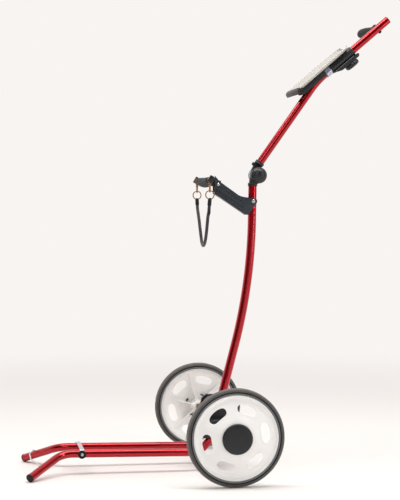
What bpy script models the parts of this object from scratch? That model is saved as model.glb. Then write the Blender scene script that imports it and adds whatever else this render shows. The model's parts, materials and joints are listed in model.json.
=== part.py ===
"""Two-wheel golf pull trolley with a folding mast and handle, a bag holder and its elastic strap.

Metres, +Z up.  The handle is towards +X, the feet towards -X, and the axle lies along Y.
Places below are given in a working frame with the axle straight above its origin; one empty
shifts the whole model so that the origin lies under the middle of its bounding box.
"""

import math

import bmesh
import bpy
from mathutils import Matrix, Vector

# ---------------------------------------------------------------- driving dimensions
CLEARANCE = 0.0003          # gap between pieces that touch
RUNNING_GAP = 0.0005        # gap between pieces that turn on each other

WHEEL_RADIUS = 0.130
TYRE_WIDTH = 0.024
RIM_RADIUS = 0.1127         # seat of the tyre
RIM_WIDTH = 0.023
TRACK = 0.589               # between the wheels' middle planes
AXLE_RADIUS = 0.006
BUSH_RADIUS = 0.0080
HUB_FACE = 0.0245           # outer face of the hub, from the wheel's middle plane
HUB_INNER_FACE = 0.0200     # inner end of the hub's barrel, from the same plane
HUB_RADIUS = 0.042
HUB_CAP_THICKNESS = 0.0090
CAP_CLIP_RADIUS = 0.033     # circle of the hub cap's four clips
WHEEL_OPENINGS = 6
OPENING_CIRCLE = 0.079
OPENING_LENGTH = 0.053
OPENING_WIDTH = 0.026
OPENING_FIRST_ANGLE = 10.0  # degrees

BASE_TUBE_RADIUS = 0.011
BASE_TUBE_WALL = 0.0015
BASE_TUBE_SPACING = 0.110   # between the two tubes' axes
TUBE_END_GAP = 0.00055857   # between a tube's inner end and the axle, along the tube
BASE_HEIGHT = 0.0515        # tube axis above the floor at its rear bend
BASE_RISE = 0.0050          # how much higher the tube axis is at its front bend
REAR_BEND = 0.056           # rear bend's corner, ahead of the axle
FRONT_BEND = 0.434          # front bend's corner, ahead of the axle
REAR_BEND_RADIUS = 0.045
FRONT_BEND_RADIUS = 0.065
FOOT_REACH = 0.5276         # middle of a foot cap's end face, ahead of the axle
FOOT_SPREAD = 0.306         # between the middles of the two end faces
FOOT_CAP_RADIUS = 0.0115
FOOT_CAP_FLANGE = 0.0035
FOOT_CAP_PLUG = 0.016
FOOT_FLAT = 0.0006          # worn flat on the cap where it stands on the floor

CROSSBAR_REACH = 0.381      # middle of the bar, ahead of the axle
CROSSBAR_WIDTH = 0.012
CROSSBAR_THICKNESS = 0.0025
WASHER_RADIUS = 0.0115
WASHER_THICKNESS = 0.0040
BOLT_RADIUS = 0.0025
BOLT_HEAD_RADIUS = 0.0042
BOLT_HEAD_HEIGHT = 0.0030
WIRE_RADIUS = 0.0018

BRACKET_HALF_WIDTH = 0.0300     # housing round the mast's foot
SOCKET_BLOCK_HALF_WIDTH = 0.072
SLOT_HALF_WIDTH = 0.0155

MAST_RADIUS = 0.012
MAST_WALL = 0.0015
MAST_LEAN = math.radians(14.4)
MAST_TOP_LEAN = math.radians(0.7)
MAST_CORNER = 0.388         # height of the bend's corner above the axle
MAST_BEND_RADIUS = 1.5
MAST_TOP = 0.668            # top end of the tube above the axle
MAST_SOCKET = 0.030         # from the axle to the tube's lower end
MAST_FOOT_LENGTH = 0.075
MAST_FOOT_RADIUS = 0.0155
KNUCKLE_RADIUS = 0.021
KNUCKLE_HALF_WIDTH = 0.0148

PIVOT_BEHIND_MAST = 0.0125  # folding pivot, behind the mast's axis
PIVOT_ABOVE_TUBE = 0.022    # folding pivot, above the mast tube's top end
HINGE_RADIUS = 0.0205
COLLAR_WALL = 0.0013
COLLAR_RADIUS = MAST_RADIUS + CLEARANCE + COLLAR_WALL
LEAF_PAST_COLLAR = 0.0010   # how far a leaf's outer face lies beyond the collar
HINGE_LEAF = COLLAR_RADIUS + LEAF_PAST_COLLAR   # thickness of each leaf
COLLAR_LENGTH = 0.008
KNOB_RADIUS = 0.0228
KNOB_DEPTH = 0.026
HINGE_BOLT_RADIUS = 0.004
HINGE_PLATE_RADIUS = 0.0220
HINGE_PLATE_THICKNESS = 0.0025

HANDLE_RADIUS = 0.011
HANDLE_WALL = 0.0015
HANDLE_OFFSET = 0.0141      # handle's axis, in front of the folding pivot
HANDLE_START = 0.028        # from the pivot's foot on the axis to the tube's lower end
HANDLE_ANGLE = math.radians(54.8)
HANDLE_TOP_ANGLE = math.radians(40.8)
HANDLE_LOWER = 0.318        # from the pivot's foot on the axis to the bend's corner
HANDLE_UPPER = 0.2697       # from the bend's corner to the tube's upper end
HANDLE_BEND_RADIUS = 0.24
PLUG_FLANGE = 0.003

SLEEVE_START = 0.0505       # along the handle's upper stretch, from its corner
SLEEVE_LENGTH = 0.0835
SLEEVE_WALL = 0.0027
SLEEVE_RADIUS = HANDLE_RADIUS + CLEARANCE + SLEEVE_WALL
BAND_START = 0.0315
BAND_LENGTH = 0.0185
BAND_WALL = 0.0017
BAND_RADIUS = HANDLE_RADIUS + CLEARANCE + BAND_WALL
BOARD_WIDTH = 0.150
BOARD_LOW = -0.068          # lower edge of the board, along the same line
BOARD_LENGTH = 0.188
BOARD_THICKNESS = 0.0025
BOARD_CORNER = 0.030
ARM_LOW = -0.064
ARM_THICKNESS = 0.0020
ARM_DEPTH = 0.018
CLIP_REACH = 0.0053         # how far the clip stands off its pin's axis
MOUNT_LENGTH = 0.080
MOUNT_HEIGHT = 0.0090
MOUNT_WIDTH = 0.030
CONSOLE_KNOB_RADIUS = 0.022
CONSOLE_KNOB_HEIGHT = 0.013
CONSOLE_KNOB_PLACE = 0.109

GRIP_PLACE = 0.232
GRIP_FRONT = 0.0045          # how far the grip's axis stands off the tube's axis
GRIP_LENGTH = 0.148
GRIP_STEM_RADIUS = 0.0072
GRIP_BULB_RADIUS = 0.0145
GRIP_ROD_RADIUS = 0.0035

HOLDER_PIN_HEIGHT = 0.618   # above the axle
HOLDER_CHEEK = 0.0030
HOLDER_SIDE_ROOM = 0.0015    # between the mast and a cheek of the arm
HOLDER_INNER_HALF_WIDTH = MAST_RADIUS + HOLDER_SIDE_ROOM
HOLDER_WEB = 0.0040
HOLDER_PIN_RADIUS = 0.0030
CRADLE_AHEAD = 0.140        # cradle's middle, ahead of the holder's pin
CRADLE_ABOVE = 0.057        # and above it
CRADLE_HALF_LENGTH = 0.0950
CRADLE_MIDDLE_RADIUS = 0.0145
CRADLE_END_RADIUS = 0.0085
CRADLE_BOW = 0.0060
NECK_RADIUS = 0.0040
NECK_LENGTH = 0.0180
TAB_THICKNESS = 0.0090

EYE_RADIUS = 0.0058
HOOK_WIRE = 0.0013
RING_RADIUS = 0.0115
RING_WIRE = 0.0014
CORD_RADIUS = 0.0045

UP = Vector((0, 0, 1))
ALONG_Y = Vector((0, 1, 0))


# ---------------------------------------------------------------- worked-out places
def in_profile(x, z, y=0.0):
    return Vector((x, y, z))


AXLE = in_profile(0, WHEEL_RADIUS)
MAST_DIRECTION = in_profile(math.sin(MAST_LEAN), math.cos(MAST_LEAN))
MAST_BACK = in_profile(math.cos(MAST_LEAN), -math.sin(MAST_LEAN))
MAST_CORNER_POINT = AXLE + MAST_DIRECTION * (MAST_CORNER / math.cos(MAST_LEAN))
MAST_TOP_DIRECTION = in_profile(math.sin(MAST_TOP_LEAN), math.cos(MAST_TOP_LEAN))


def mast_top_point(above_axle):
    """Point of the mast's axis on its upper straight stretch."""
    return MAST_CORNER_POINT + MAST_TOP_DIRECTION * (above_axle - MAST_CORNER) / math.cos(MAST_TOP_LEAN)


MAST_END = mast_top_point(MAST_TOP)
PIVOT = MAST_END + in_profile(PIVOT_BEHIND_MAST, PIVOT_ABOVE_TUBE)
HANDLE_DIRECTION = in_profile(math.cos(HANDLE_ANGLE), math.sin(HANDLE_ANGLE))
HANDLE_FRONT = in_profile(-math.sin(HANDLE_ANGLE), math.cos(HANDLE_ANGLE))
HANDLE_FOOT = PIVOT + HANDLE_FRONT * HANDLE_OFFSET
HANDLE_CORNER = HANDLE_FOOT + HANDLE_DIRECTION * HANDLE_LOWER
TOP_DIRECTION = in_profile(math.cos(HANDLE_TOP_ANGLE), math.sin(HANDLE_TOP_ANGLE))
TOP_FRONT = in_profile(-math.sin(HANDLE_TOP_ANGLE), math.cos(HANDLE_TOP_ANGLE))
HANDLE_END = HANDLE_CORNER + TOP_DIRECTION * HANDLE_UPPER
HOLDER_PIN = mast_top_point(HOLDER_PIN_HEIGHT)
CRADLE = HOLDER_PIN + in_profile(-CRADLE_AHEAD, CRADLE_ABOVE)
TUBE_Y = BASE_TUBE_SPACING / 2
FOOT_CAP_END_Z = FOOT_CAP_RADIUS * 0.954 - FOOT_FLAT


def on_handle(along, front=0.0, y=0.0):
    """Point beside the handle's upper stretch: along it, off its front, and sideways."""
    return HANDLE_CORNER + TOP_DIRECTION * along + TOP_FRONT * front + ALONG_Y * y


FOOT_OUT = Vector((FRONT_BEND - FOOT_REACH, FOOT_SPREAD / 2 - TUBE_Y,
                   FOOT_CAP_END_Z - BASE_HEIGHT - BASE_RISE)).normalized()
FRONT_END = FOOT_REACH + FOOT_CAP_RADIUS * math.sqrt(1 - FOOT_OUT.x ** 2)
REAR_END = on_handle(HANDLE_UPPER + CLEARANCE + PLUG_FLANGE, 0.0012 - HANDLE_RADIUS).x
SHIFT = (FRONT_END - REAR_END) / 2


# ---------------------------------------------------------------- scene and helpers
def clear_scene():
    for old in list(bpy.data.objects):
        bpy.data.objects.remove(old, do_unlink=True)
    for old in list(bpy.data.collections):
        bpy.data.collections.remove(old)


def new_collection(name):
    collection = bpy.data.collections.new(name)
    bpy.context.scene.collection.children.link(collection)
    return collection


clear_scene()
PARTS = new_collection("golf_pull_trolley")
CUTTERS = new_collection("cutters")


def linear(value):
    value /= 255
    return value / 12.92 if value <= 0.04045 else ((value + 0.055) / 1.055) ** 2.4


def material(name, rgb, roughness, metallic=0.0, alpha=1.0):
    finish = bpy.data.materials.new(name)
    finish.use_nodes = True
    shader = finish.node_tree.nodes["Principled BSDF"]
    shader.inputs["Base Color"].default_value = (*(linear(channel) for channel in rgb), 1)
    shader.inputs["Roughness"].default_value = roughness
    shader.inputs["Metallic"].default_value = metallic
    shader.inputs["Alpha"].default_value = alpha
    return finish


RED_STEEL = material("red_lacquered_steel", (176, 18, 34), 0.2, 0.6)
RED_ALUMINIUM = material("red_anodised_aluminium", (176, 18, 34), 0.2, 0.8)
BLACK_PLASTIC = material("black_nylon", (38, 39, 42), 0.45)
BLACK_RUBBER = material("black_rubber", (34, 34, 36), 0.7)
TYRE_RUBBER = material("grey_tyre_rubber", (66, 64, 64), 0.75)
WHITE_PLASTIC = material("white_polypropylene", (236, 234, 230), 0.35)
CLEAR_PLASTIC = material("frosted_clear_plastic", (228, 225, 220), 0.3, 0.0, 0.6)
SMOKE_PLASTIC = material("smoke_plastic", (110, 106, 102), 0.3)
STEEL = material("zinc_plated_steel", (190, 190, 192), 0.3, 1.0)
BRASS = material("brass", (178, 132, 74), 0.3, 1.0)
CORD_BLACK = material("black_elastic_cord", (30, 30, 32), 0.8)


class Pivot:
    """An empty on a joint's axis; the pieces that turn about it are its children."""

    def __init__(self, name, place, parent=None):
        self.place = Vector(place)
        self.empty = bpy.data.objects.new(name, None)
        self.empty.empty_display_size = 0.03
        PARTS.objects.link(self.empty)
        if parent:
            self.empty.parent = parent.empty
            self.empty.location = self.place - parent.place
        else:
            self.empty.location = (SHIFT, 0, 0)


FRAME = Pivot("trolley", (0, 0, 0))
WHEEL_PIVOTS = {side: Pivot(f"wheel_{side}_axis", AXLE + ALONG_Y * sign * TRACK / 2, FRAME)
                for side, sign in (("left", 1), ("right", -1))}
MAST = Pivot("mast_axis", AXLE, FRAME)
HANDLE = Pivot("handle_axis", PIVOT, MAST)
HINGE_KNOB_AXIS = Pivot("hinge_knob_axis", PIVOT, MAST)
HOLDER = Pivot("holder_axis", HOLDER_PIN, MAST)
STRAP = Pivot("strap_axis", CRADLE, HOLDER)
CONSOLE_KNOB_AXIS = Pivot("console_knob_axis", on_handle(CONSOLE_KNOB_PLACE), HANDLE)
CLIP_PIN = on_handle(BOARD_LOW - 0.005, SLEEVE_RADIUS + CLEARANCE + 0.0055)
CLIP_AXIS = Pivot("card_clip_axis", CLIP_PIN, HANDLE)


def frame_matrix(axis, side=ALONG_Y, origin=Vector((0, 0, 0))):
    """Matrix that turns +Z to axis, with its X as near to side as it can be."""
    z = Vector(axis).normalized()
    x = (Vector(side) - z * z.dot(Vector(side))).normalized()
    y = z.cross(x)
    turned = Matrix((x, y, z)).transposed().to_4x4()
    return Matrix.Translation(origin) @ turned


def finish_object(obj, name, finish, pivot, matrix):
    obj.name = name
    obj.data.name = name
    if finish:
        obj.data.materials.clear()
        obj.data.materials.append(finish)
    if obj.type == "MESH":
        obj.data.shade_smooth()
        obj.data.set_sharp_from_angle(angle=math.radians(35))
    if pivot:
        PARTS.objects.link(obj)
        obj.parent = pivot.empty
        obj.matrix_basis = Matrix.Translation(-pivot.place) @ matrix
    else:
        CUTTERS.objects.link(obj)
        obj.parent = FRAME.empty
        obj.matrix_basis = matrix
        obj.hide_render = True
        obj.display_type = "WIRE"
    bpy.context.view_layer.update()
    return obj


def from_bmesh(bm, name, finish=None, pivot=None, matrix=None):
    """Makes a node, or a cutter where no pivot is given."""
    mesh = bpy.data.meshes.new(name)
    bm.to_mesh(mesh)
    bm.free()
    obj = bpy.data.objects.new(name, mesh)
    return finish_object(obj, name, finish, pivot, matrix or Matrix())


def rod(name, start, end, radius, finish=None, pivot=None, segments=24, end_radius=None):
    start, end = Vector(start), Vector(end)
    axis = end - start
    bm = bmesh.new()
    bmesh.ops.create_cone(bm, cap_ends=True, segments=segments, radius1=radius,
                          radius2=radius if end_radius is None else end_radius, depth=axis.length)
    side = ALONG_Y if abs(axis.normalized().dot(ALONG_Y)) < 0.9 else UP
    return from_bmesh(bm, name, finish, pivot, frame_matrix(axis, side, (start + end) / 2))


def block(name, centre, size, finish=None, pivot=None, axis=UP, side=Vector((1, 0, 0))):
    """Box whose size runs along side, along the third direction and along axis."""
    bm = bmesh.new()
    bmesh.ops.create_cube(bm, size=1.0)
    bmesh.ops.scale(bm, vec=Vector(size), verts=bm.verts)
    return from_bmesh(bm, name, finish, pivot, frame_matrix(axis, side, Vector(centre)))


def turned(name, profile, matrix, finish=None, pivot=None, steps=48):
    """Closed profile of (radius, height) points, turned about its own Z."""
    bm = bmesh.new()
    verts = [bm.verts.new((radius, 0, height)) for radius, height in profile]
    for first, second in zip(verts, verts[1:] + verts[:1]):
        bm.edges.new((first, second))
    obj = from_bmesh(bm, name, finish, pivot, matrix)
    screw = obj.modifiers.new("turn", "SCREW")
    screw.steps = steps
    screw.render_steps = steps
    screw.use_merge_vertices = True
    screw.merge_threshold = 0.00001
    screw.use_smooth_shade = True
    return obj


def plate(name, outline, thickness, matrix, finish=None, pivot=None, bevel=0.0):
    """Flat outline in its own XY plane, thickness centred on that plane, as a mesh."""
    curve = bpy.data.curves.new(name, "CURVE")
    curve.dimensions = "2D"
    curve.fill_mode = "BOTH"
    curve.extrude = thickness / 2
    spline = curve.splines.new("POLY")
    spline.points.add(len(outline) - 1)
    for point, (x, y) in zip(spline.points, outline):
        point.co = (x, y, 0, 1)
    spline.use_cyclic_u = True
    obj = as_mesh(bpy.data.objects.new(name, curve))
    finish_object(obj, name, finish, pivot, matrix)
    if bevel:
        add_bevel(obj, bevel)
    return obj


def as_mesh(curve_object):
    """Mesh object with the shape of a curve object, its loose caps welded."""
    bpy.context.scene.collection.objects.link(curve_object)
    bpy.context.view_layer.update()
    evaluated = curve_object.evaluated_get(bpy.context.evaluated_depsgraph_get())
    mesh = bpy.data.meshes.new_from_object(evaluated)
    curve = curve_object.data
    bpy.data.objects.remove(curve_object)
    bpy.data.curves.remove(curve)
    bm = bmesh.new()
    bm.from_mesh(mesh)
    bmesh.ops.remove_doubles(bm, verts=bm.verts, dist=0.00001)
    bmesh.ops.recalc_face_normals(bm, faces=bm.faces)
    bm.to_mesh(mesh)
    bm.free()
    return bpy.data.objects.new(mesh.name, mesh)


def swept(name, points, radius, finish=None, pivot=None, resolution=4, radii=None, cyclic=False,
          capped=True, wall=0.0):
    """Round bar along points; with a wall it is a tube that is open at both ends."""
    curve = bpy.data.curves.new(name, "CURVE")
    curve.dimensions = "3D"
    curve.bevel_depth = radius
    curve.bevel_resolution = resolution
    curve.use_fill_caps = capped and not wall and not cyclic
    spline = curve.splines.new("POLY")
    spline.points.add(len(points) - 1)
    for index, point in enumerate(points):
        spline.points[index].co = (*point, 1)
        spline.points[index].radius = radii[index] if radii else 1.0
    spline.use_cyclic_u = cyclic
    obj = as_mesh(bpy.data.objects.new(name, curve))
    finish_object(obj, name, finish, pivot, Matrix())
    if wall:
        shell = obj.modifiers.new("wall", "SOLIDIFY")
        shell.thickness = wall
        shell.offset = -1
    return obj


def add_bevel(obj, width, segments=2):
    bevel = obj.modifiers.new("round", "BEVEL")
    bevel.width = width
    bevel.segments = segments
    bevel.limit_method = "ANGLE"
    bevel.angle_limit = math.radians(40)
    return obj


def boolean(obj, other, operation):
    change = obj.modifiers.new(operation.lower(), "BOOLEAN")
    change.operation = operation
    change.object = other
    change.solver = "EXACT"
    return obj


def cut(obj, *cutters):
    for cutter in cutters:
        boolean(obj, cutter, "DIFFERENCE")
    return obj


def join(obj, *others):
    for other in others:
        boolean(obj, other, "UNION")
    return obj


def arc_points(before, corner, after, radius, steps):
    """Points of the arc that rounds a corner between two straight stretches."""
    into = (before - corner).normalized()
    out = (after - corner).normalized()
    half = into.angle(out) / 2
    middle = corner + (into + out).normalized() * radius / math.sin(half)
    spoke = (corner + into * radius / math.tan(half)) - middle
    turn = math.pi - 2 * half
    axis = spoke.cross(corner - middle)
    return [middle + Matrix.Rotation(turn * step / steps, 4, axis) @ spoke for step in range(steps + 1)]


def rounded_route(corners, radii, steps=8):
    """Route through corners, each inner one rounded with its own radius."""
    corners = [Vector(corner) for corner in corners]
    route = [corners[0]]
    for before, corner, after, radius in zip(corners, corners[1:], corners[2:], radii):
        route += arc_points(before, corner, after, radius, steps)
    return route + [corners[-1]]


def smooth_route(knots, spacing):
    """Catmull-Rom curve through knots, read off at about the given spacing."""
    knots = [Vector(knot) for knot in knots]
    ends = [2 * knots[0] - knots[1]] + knots + [2 * knots[-1] - knots[-2]]
    fine = []
    for a, b, c, d in zip(ends, ends[1:], ends[2:], ends[3:]):
        for step in range(20):
            t = step / 20
            fine.append(0.5 * (2 * b + (c - a) * t + (2 * a - 5 * b + 4 * c - d) * t * t
                               + (3 * b - a - 3 * c + d) * t * t * t))
    fine.append(knots[-1])
    length = sum((q - p).length for p, q in zip(fine, fine[1:]))
    count = max(2, round(length / spacing))
    route, travelled, wanted = [fine[0]], 0.0, length / count
    for p, q in zip(fine, fine[1:]):
        step = (q - p).length
        while len(route) < count and travelled + step >= wanted * len(route):
            route.append(p.lerp(q, (wanted * len(route) - travelled) / step))
        travelled += step
    return route + [fine[-1]]


def sides():
    return (("left", 1), ("right", -1))


# ---------------------------------------------------------------- wheels and axle
def wheel_matrix(sign):
    """Its Z points outwards along the axle, its origin in the wheel's middle plane."""
    return frame_matrix(ALONG_Y * sign, in_profile(sign, 0), AXLE + ALONG_Y * sign * TRACK / 2)


def make_tyre(side, sign):
    seat = RIM_RADIUS + CLEARANCE
    half = TYRE_WIDTH / 2
    shoulder = 0.005
    profile = [(seat, half - 0.001), (seat + 0.001, half), (WHEEL_RADIUS - shoulder, half),
               (WHEEL_RADIUS - 0.0015, half - 0.0025), (WHEEL_RADIUS, half - 0.0065),
               (WHEEL_RADIUS, -half + 0.0065), (WHEEL_RADIUS - 0.0015, -half + 0.0025),
               (WHEEL_RADIUS - shoulder, -half), (seat + 0.001, -half), (seat, -half + 0.001)]
    turned(f"tyre_{side}", profile, wheel_matrix(sign), TYRE_RUBBER, WHEEL_PIVOTS[side], 48)


def make_wheel(side, sign):
    half = RIM_WIDTH / 2
    web = 0.0040
    bore = BUSH_RADIUS + CLEARANCE
    profile = [(bore, HUB_FACE), (HUB_RADIUS, HUB_FACE), (0.060, 0.0175), (0.095, 0.0085),
               (RIM_RADIUS - 0.009, 0.0075), (RIM_RADIUS - 0.005, half), (RIM_RADIUS, half),
               (RIM_RADIUS, -half), (RIM_RADIUS - 0.0035, -half), (RIM_RADIUS - 0.0085, 0.0075 - web),
               (0.095, 0.0085 - web), (0.060, 0.0175 - web), (HUB_RADIUS, HUB_FACE - web),
               (0.019, HUB_FACE - web), (0.015, -HUB_INNER_FACE), (bore, -HUB_INNER_FACE)]
    matrix = wheel_matrix(sign)
    wheel = turned(f"wheel_{side}", profile, matrix, WHITE_PLASTIC, WHEEL_PIVOTS[side], 36)
    cut(wheel, wheel_opening_cutter(side, sign, matrix), cap_clips(side, matrix, CLEARANCE, None))


def wheel_opening_cutter(side, sign, matrix):
    """Six slots with round ends along the wheel's rim, as one cutter."""
    bm = bmesh.new()
    bend = OPENING_WIDTH / 2
    straight = (OPENING_LENGTH - OPENING_WIDTH) / 2
    outline = []
    for end in (1, -1):
        for step in range(5):
            angle = math.pi * (step / 4) - math.pi / 2
            outline.append((bend * math.sin(angle) * -end,
                            end * (straight + bend * math.cos(angle))))
    for index in range(WHEEL_OPENINGS):
        angle = math.radians(OPENING_FIRST_ANGLE + index * 360 / WHEEL_OPENINGS)
        if sign > 0:
            angle = -angle
        turn = Matrix.Rotation(angle, 4, "Z") @ Matrix.Translation((OPENING_CIRCLE, 0, -0.02))
        face = bm.faces.new([bm.verts.new(turn @ Vector((x, y, 0))) for x, y in outline])
        raised = bmesh.ops.extrude_face_region(bm, geom=[face])["geom"]
        bmesh.ops.translate(bm, vec=(0, 0, 0.06), verts=[v for v in raised if isinstance(v, bmesh.types.BMVert)])
    bmesh.ops.recalc_face_normals(bm, faces=bm.faces)
    return from_bmesh(bm, f"wheel_openings_{side}", matrix=matrix)


def cap_clips(side, matrix, extra, name):
    """The hub cap's four clips, or with extra the slots that they pass through."""
    bm = bmesh.new()
    length = 0.0095 + 2 * extra
    for index in range(4):
        turn = Matrix.Rotation(math.radians(28 + 90 * index), 4, "Z")
        size = Matrix.Diagonal((0.0022 + 2 * extra, 0.0070 + 2 * extra, length, 1))
        place = Matrix.Translation((CAP_CLIP_RADIUS, 0, HUB_FACE - 0.0030))
        bmesh.ops.create_cube(bm, size=1.0, matrix=turn @ place @ size)
    return from_bmesh(bm, name or f"clip_slots_{side}", matrix=matrix)


def make_hub_cap(side, sign):
    low = HUB_FACE + CLEARANCE
    high = low + HUB_CAP_THICKNESS
    recess = high - 0.0022
    profile = [(0.0, high), (0.020, high - 0.0005), (0.034, high - 0.0017), (0.0398, high - 0.0035),
               (0.0410, high - 0.0055), (0.0410, low), (0.0145, low), (0.0145, recess), (0.0, recess)]
    bm = bmesh.new()
    verts = [bm.verts.new((radius, 0, height)) for radius, height in profile]
    for first, second in zip(verts, verts[1:]):
        bm.edges.new((first, second))
    cap = from_bmesh(bm, f"hub_cap_{side}", BLACK_PLASTIC, WHEEL_PIVOTS[side], wheel_matrix(sign))
    screw = cap.modifiers.new("turn", "SCREW")
    screw.steps = 32
    screw.render_steps = 32
    screw.use_merge_vertices = True
    screw.merge_threshold = 0.00001
    join(cap, cap_clips(side, wheel_matrix(sign), 0.0, f"clip_bodies_{side}"))


def make_bush(side, sign):
    bore = AXLE_RADIUS + CLEARANCE
    inner = -HUB_INNER_FACE - 0.0100
    profile = [(bore, HUB_FACE), (BUSH_RADIUS, HUB_FACE), (BUSH_RADIUS, inner), (bore, inner)]
    turned(f"axle_bush_{side}", profile, wheel_matrix(sign), BRASS, WHEEL_PIVOTS[side], 24)


def make_push_nut(side, sign):
    low = HUB_FACE + CLEARANCE
    bore = AXLE_RADIUS + CLEARANCE
    profile = [(bore, low + 0.0026), (0.0080, low + 0.0022), (0.0110, low + 0.0010), (0.0110, low), (bore, low)]
    turned(f"axle_push_nut_{side}", profile, wheel_matrix(sign), STEEL, FRAME, 16)


def make_axle():
    reach = TRACK / 2 + HUB_FACE + 0.0050
    rod("axle", AXLE - ALONG_Y * reach, AXLE + ALONG_Y * reach, AXLE_RADIUS, STEEL, FRAME, 24)


# ---------------------------------------------------------------- base
def base_corners(sign):
    """Axle end, rear bend, front bend and foot of one base tube's axis."""
    rear = in_profile(-REAR_BEND, BASE_HEIGHT, sign * TUBE_Y)
    rise = in_profile(0.060, 0.066).normalized()
    start = rear + rise * ((AXLE - rear).dot(rise) - AXLE_RADIUS - TUBE_END_GAP)
    front = in_profile(-FRONT_BEND, BASE_HEIGHT + BASE_RISE, sign * TUBE_Y)
    foot = in_profile(-FOOT_REACH, FOOT_CAP_END_Z, sign * FOOT_SPREAD / 2)
    return start, rear, front, foot


def base_tube_height(reach):
    return BASE_HEIGHT + BASE_RISE * (reach - REAR_BEND) / (FRONT_BEND - REAR_BEND)


def make_base_tube(side, sign):
    start, rear, front, foot = base_corners(sign)
    end = foot - (foot - front).normalized() * (FOOT_CAP_FLANGE + CLEARANCE)
    route = rounded_route([start, rear, front, end], [REAR_BEND_RADIUS, FRONT_BEND_RADIUS], 7)
    tube = swept(f"base_tube_{side}", route, BASE_TUBE_RADIUS, RED_STEEL, FRAME, 4, wall=BASE_TUBE_WALL)
    bolt_y = sign * TUBE_Y
    bolt_place = in_profile(-CROSSBAR_REACH, base_tube_height(CROSSBAR_REACH))
    hole = rod(f"crossbar_hole_{side}", bolt_place + ALONG_Y * bolt_y,
               bolt_place + ALONG_Y * sign * (TUBE_Y + 0.03), BOLT_RADIUS + CLEARANCE, segments=12)
    cut(tube, hole, swept(f"wire_hole_{side}", wire_route(), WIRE_RADIUS + CLEARANCE, resolution=3))


def make_foot_cap(side, sign):
    front, foot = base_corners(sign)[2:]
    out = (foot - front).normalized()
    inner = BASE_TUBE_RADIUS - BASE_TUBE_WALL - CLEARANCE
    face = foot - out * FOOT_CAP_FLANGE
    cap = rod(f"foot_cap_{side}", face, foot, FOOT_CAP_RADIUS, BLACK_RUBBER, FRAME, 32)
    plug = rod(f"foot_plug_{side}", foot - out * (FOOT_CAP_FLANGE + FOOT_CAP_PLUG), foot - out * 0.001, inner)
    floor = block(f"floor_{side}", (foot.x, foot.y, -0.01), (0.08, 0.08, 0.02))
    cut(join(cap, plug), floor)


def make_crossbar():
    height = base_tube_height(CROSSBAR_REACH)
    inner_y = TUBE_Y + BASE_TUBE_RADIUS + CLEARANCE
    top = BASE_TUBE_RADIUS + CLEARANCE
    thick = CROSSBAR_THICKNESS
    low = -0.0065
    outline = [(-inner_y - thick, low), (-inner_y - thick, top + thick), (inner_y + thick, top + thick),
               (inner_y + thick, low), (inner_y, low), (inner_y, top), (-inner_y, top), (-inner_y, low)]
    matrix = frame_matrix(Vector((1, 0, 0)), ALONG_Y, in_profile(-CROSSBAR_REACH, height))
    bar = plate("crossbar", outline, CROSSBAR_WIDTH, matrix, STEEL, FRAME)
    add_bevel(bar, 0.0007, 1)
    place = in_profile(-CROSSBAR_REACH, height)
    cut(bar, rod("crossbar_bar_hole", place - ALONG_Y * 0.09, place + ALONG_Y * 0.09,
                 BOLT_RADIUS + CLEARANCE, segments=12))


def make_crossbar_fastener(side, sign):
    leg = TUBE_Y + BASE_TUBE_RADIUS + CROSSBAR_THICKNESS + 2 * CLEARANCE
    place = in_profile(-CROSSBAR_REACH, base_tube_height(CROSSBAR_REACH))
    out = frame_matrix(ALONG_Y * sign, in_profile(1, 0), place + ALONG_Y * sign * leg)
    hole = BOLT_RADIUS + CLEARANCE
    ring = [(hole, WASHER_THICKNESS), (0.0085, WASHER_THICKNESS), (WASHER_RADIUS, WASHER_THICKNESS - 0.0015),
            (WASHER_RADIUS, 0.0), (hole, 0.0)]
    turned(f"crossbar_washer_{side}", ring, out, BLACK_RUBBER, FRAME, 20)
    head = WASHER_THICKNESS + CLEARANCE
    bolt_profile = [(0.0, head + BOLT_HEAD_HEIGHT), (0.0028, head + BOLT_HEAD_HEIGHT),
                    (BOLT_HEAD_RADIUS, head + BOLT_HEAD_HEIGHT * 0.4), (BOLT_HEAD_RADIUS, head),
                    (BOLT_RADIUS, head), (BOLT_RADIUS, -0.0100), (0.0, -0.0100)]
    pin(f"crossbar_bolt_{side}", bolt_profile, out, STEEL, FRAME, 12)


def pin(name, profile, matrix, finish, pivot, steps=24):
    """Turned solid whose profile begins and ends on the axis."""
    bm = bmesh.new()
    verts = [bm.verts.new((radius, 0, height)) for radius, height in profile]
    for first, second in zip(verts, verts[1:]):
        bm.edges.new((first, second))
    obj = from_bmesh(bm, name, finish, pivot, matrix)
    screw = obj.modifiers.new("turn", "SCREW")
    screw.steps = steps
    screw.render_steps = steps
    screw.use_merge_vertices = True
    screw.merge_threshold = 0.00001
    return obj


def wire_route():
    """Bag-stop wire from inside one foot tube to inside the other."""
    half = []
    front, foot = base_corners(1)[2:]
    on_tube = front.lerp(foot, 0.66)
    rise = BASE_TUBE_RADIUS + 0.0035
    half = [on_tube, on_tube + Vector((-0.006, -0.004, rise)), Vector((on_tube.x - 0.022, 0.045, on_tube.z + rise))]
    corners = half + [Vector((point.x, -point.y, point.z)) for point in reversed(half)]
    return rounded_route(corners, [0.010, 0.06, 0.06, 0.010], 5)


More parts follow.
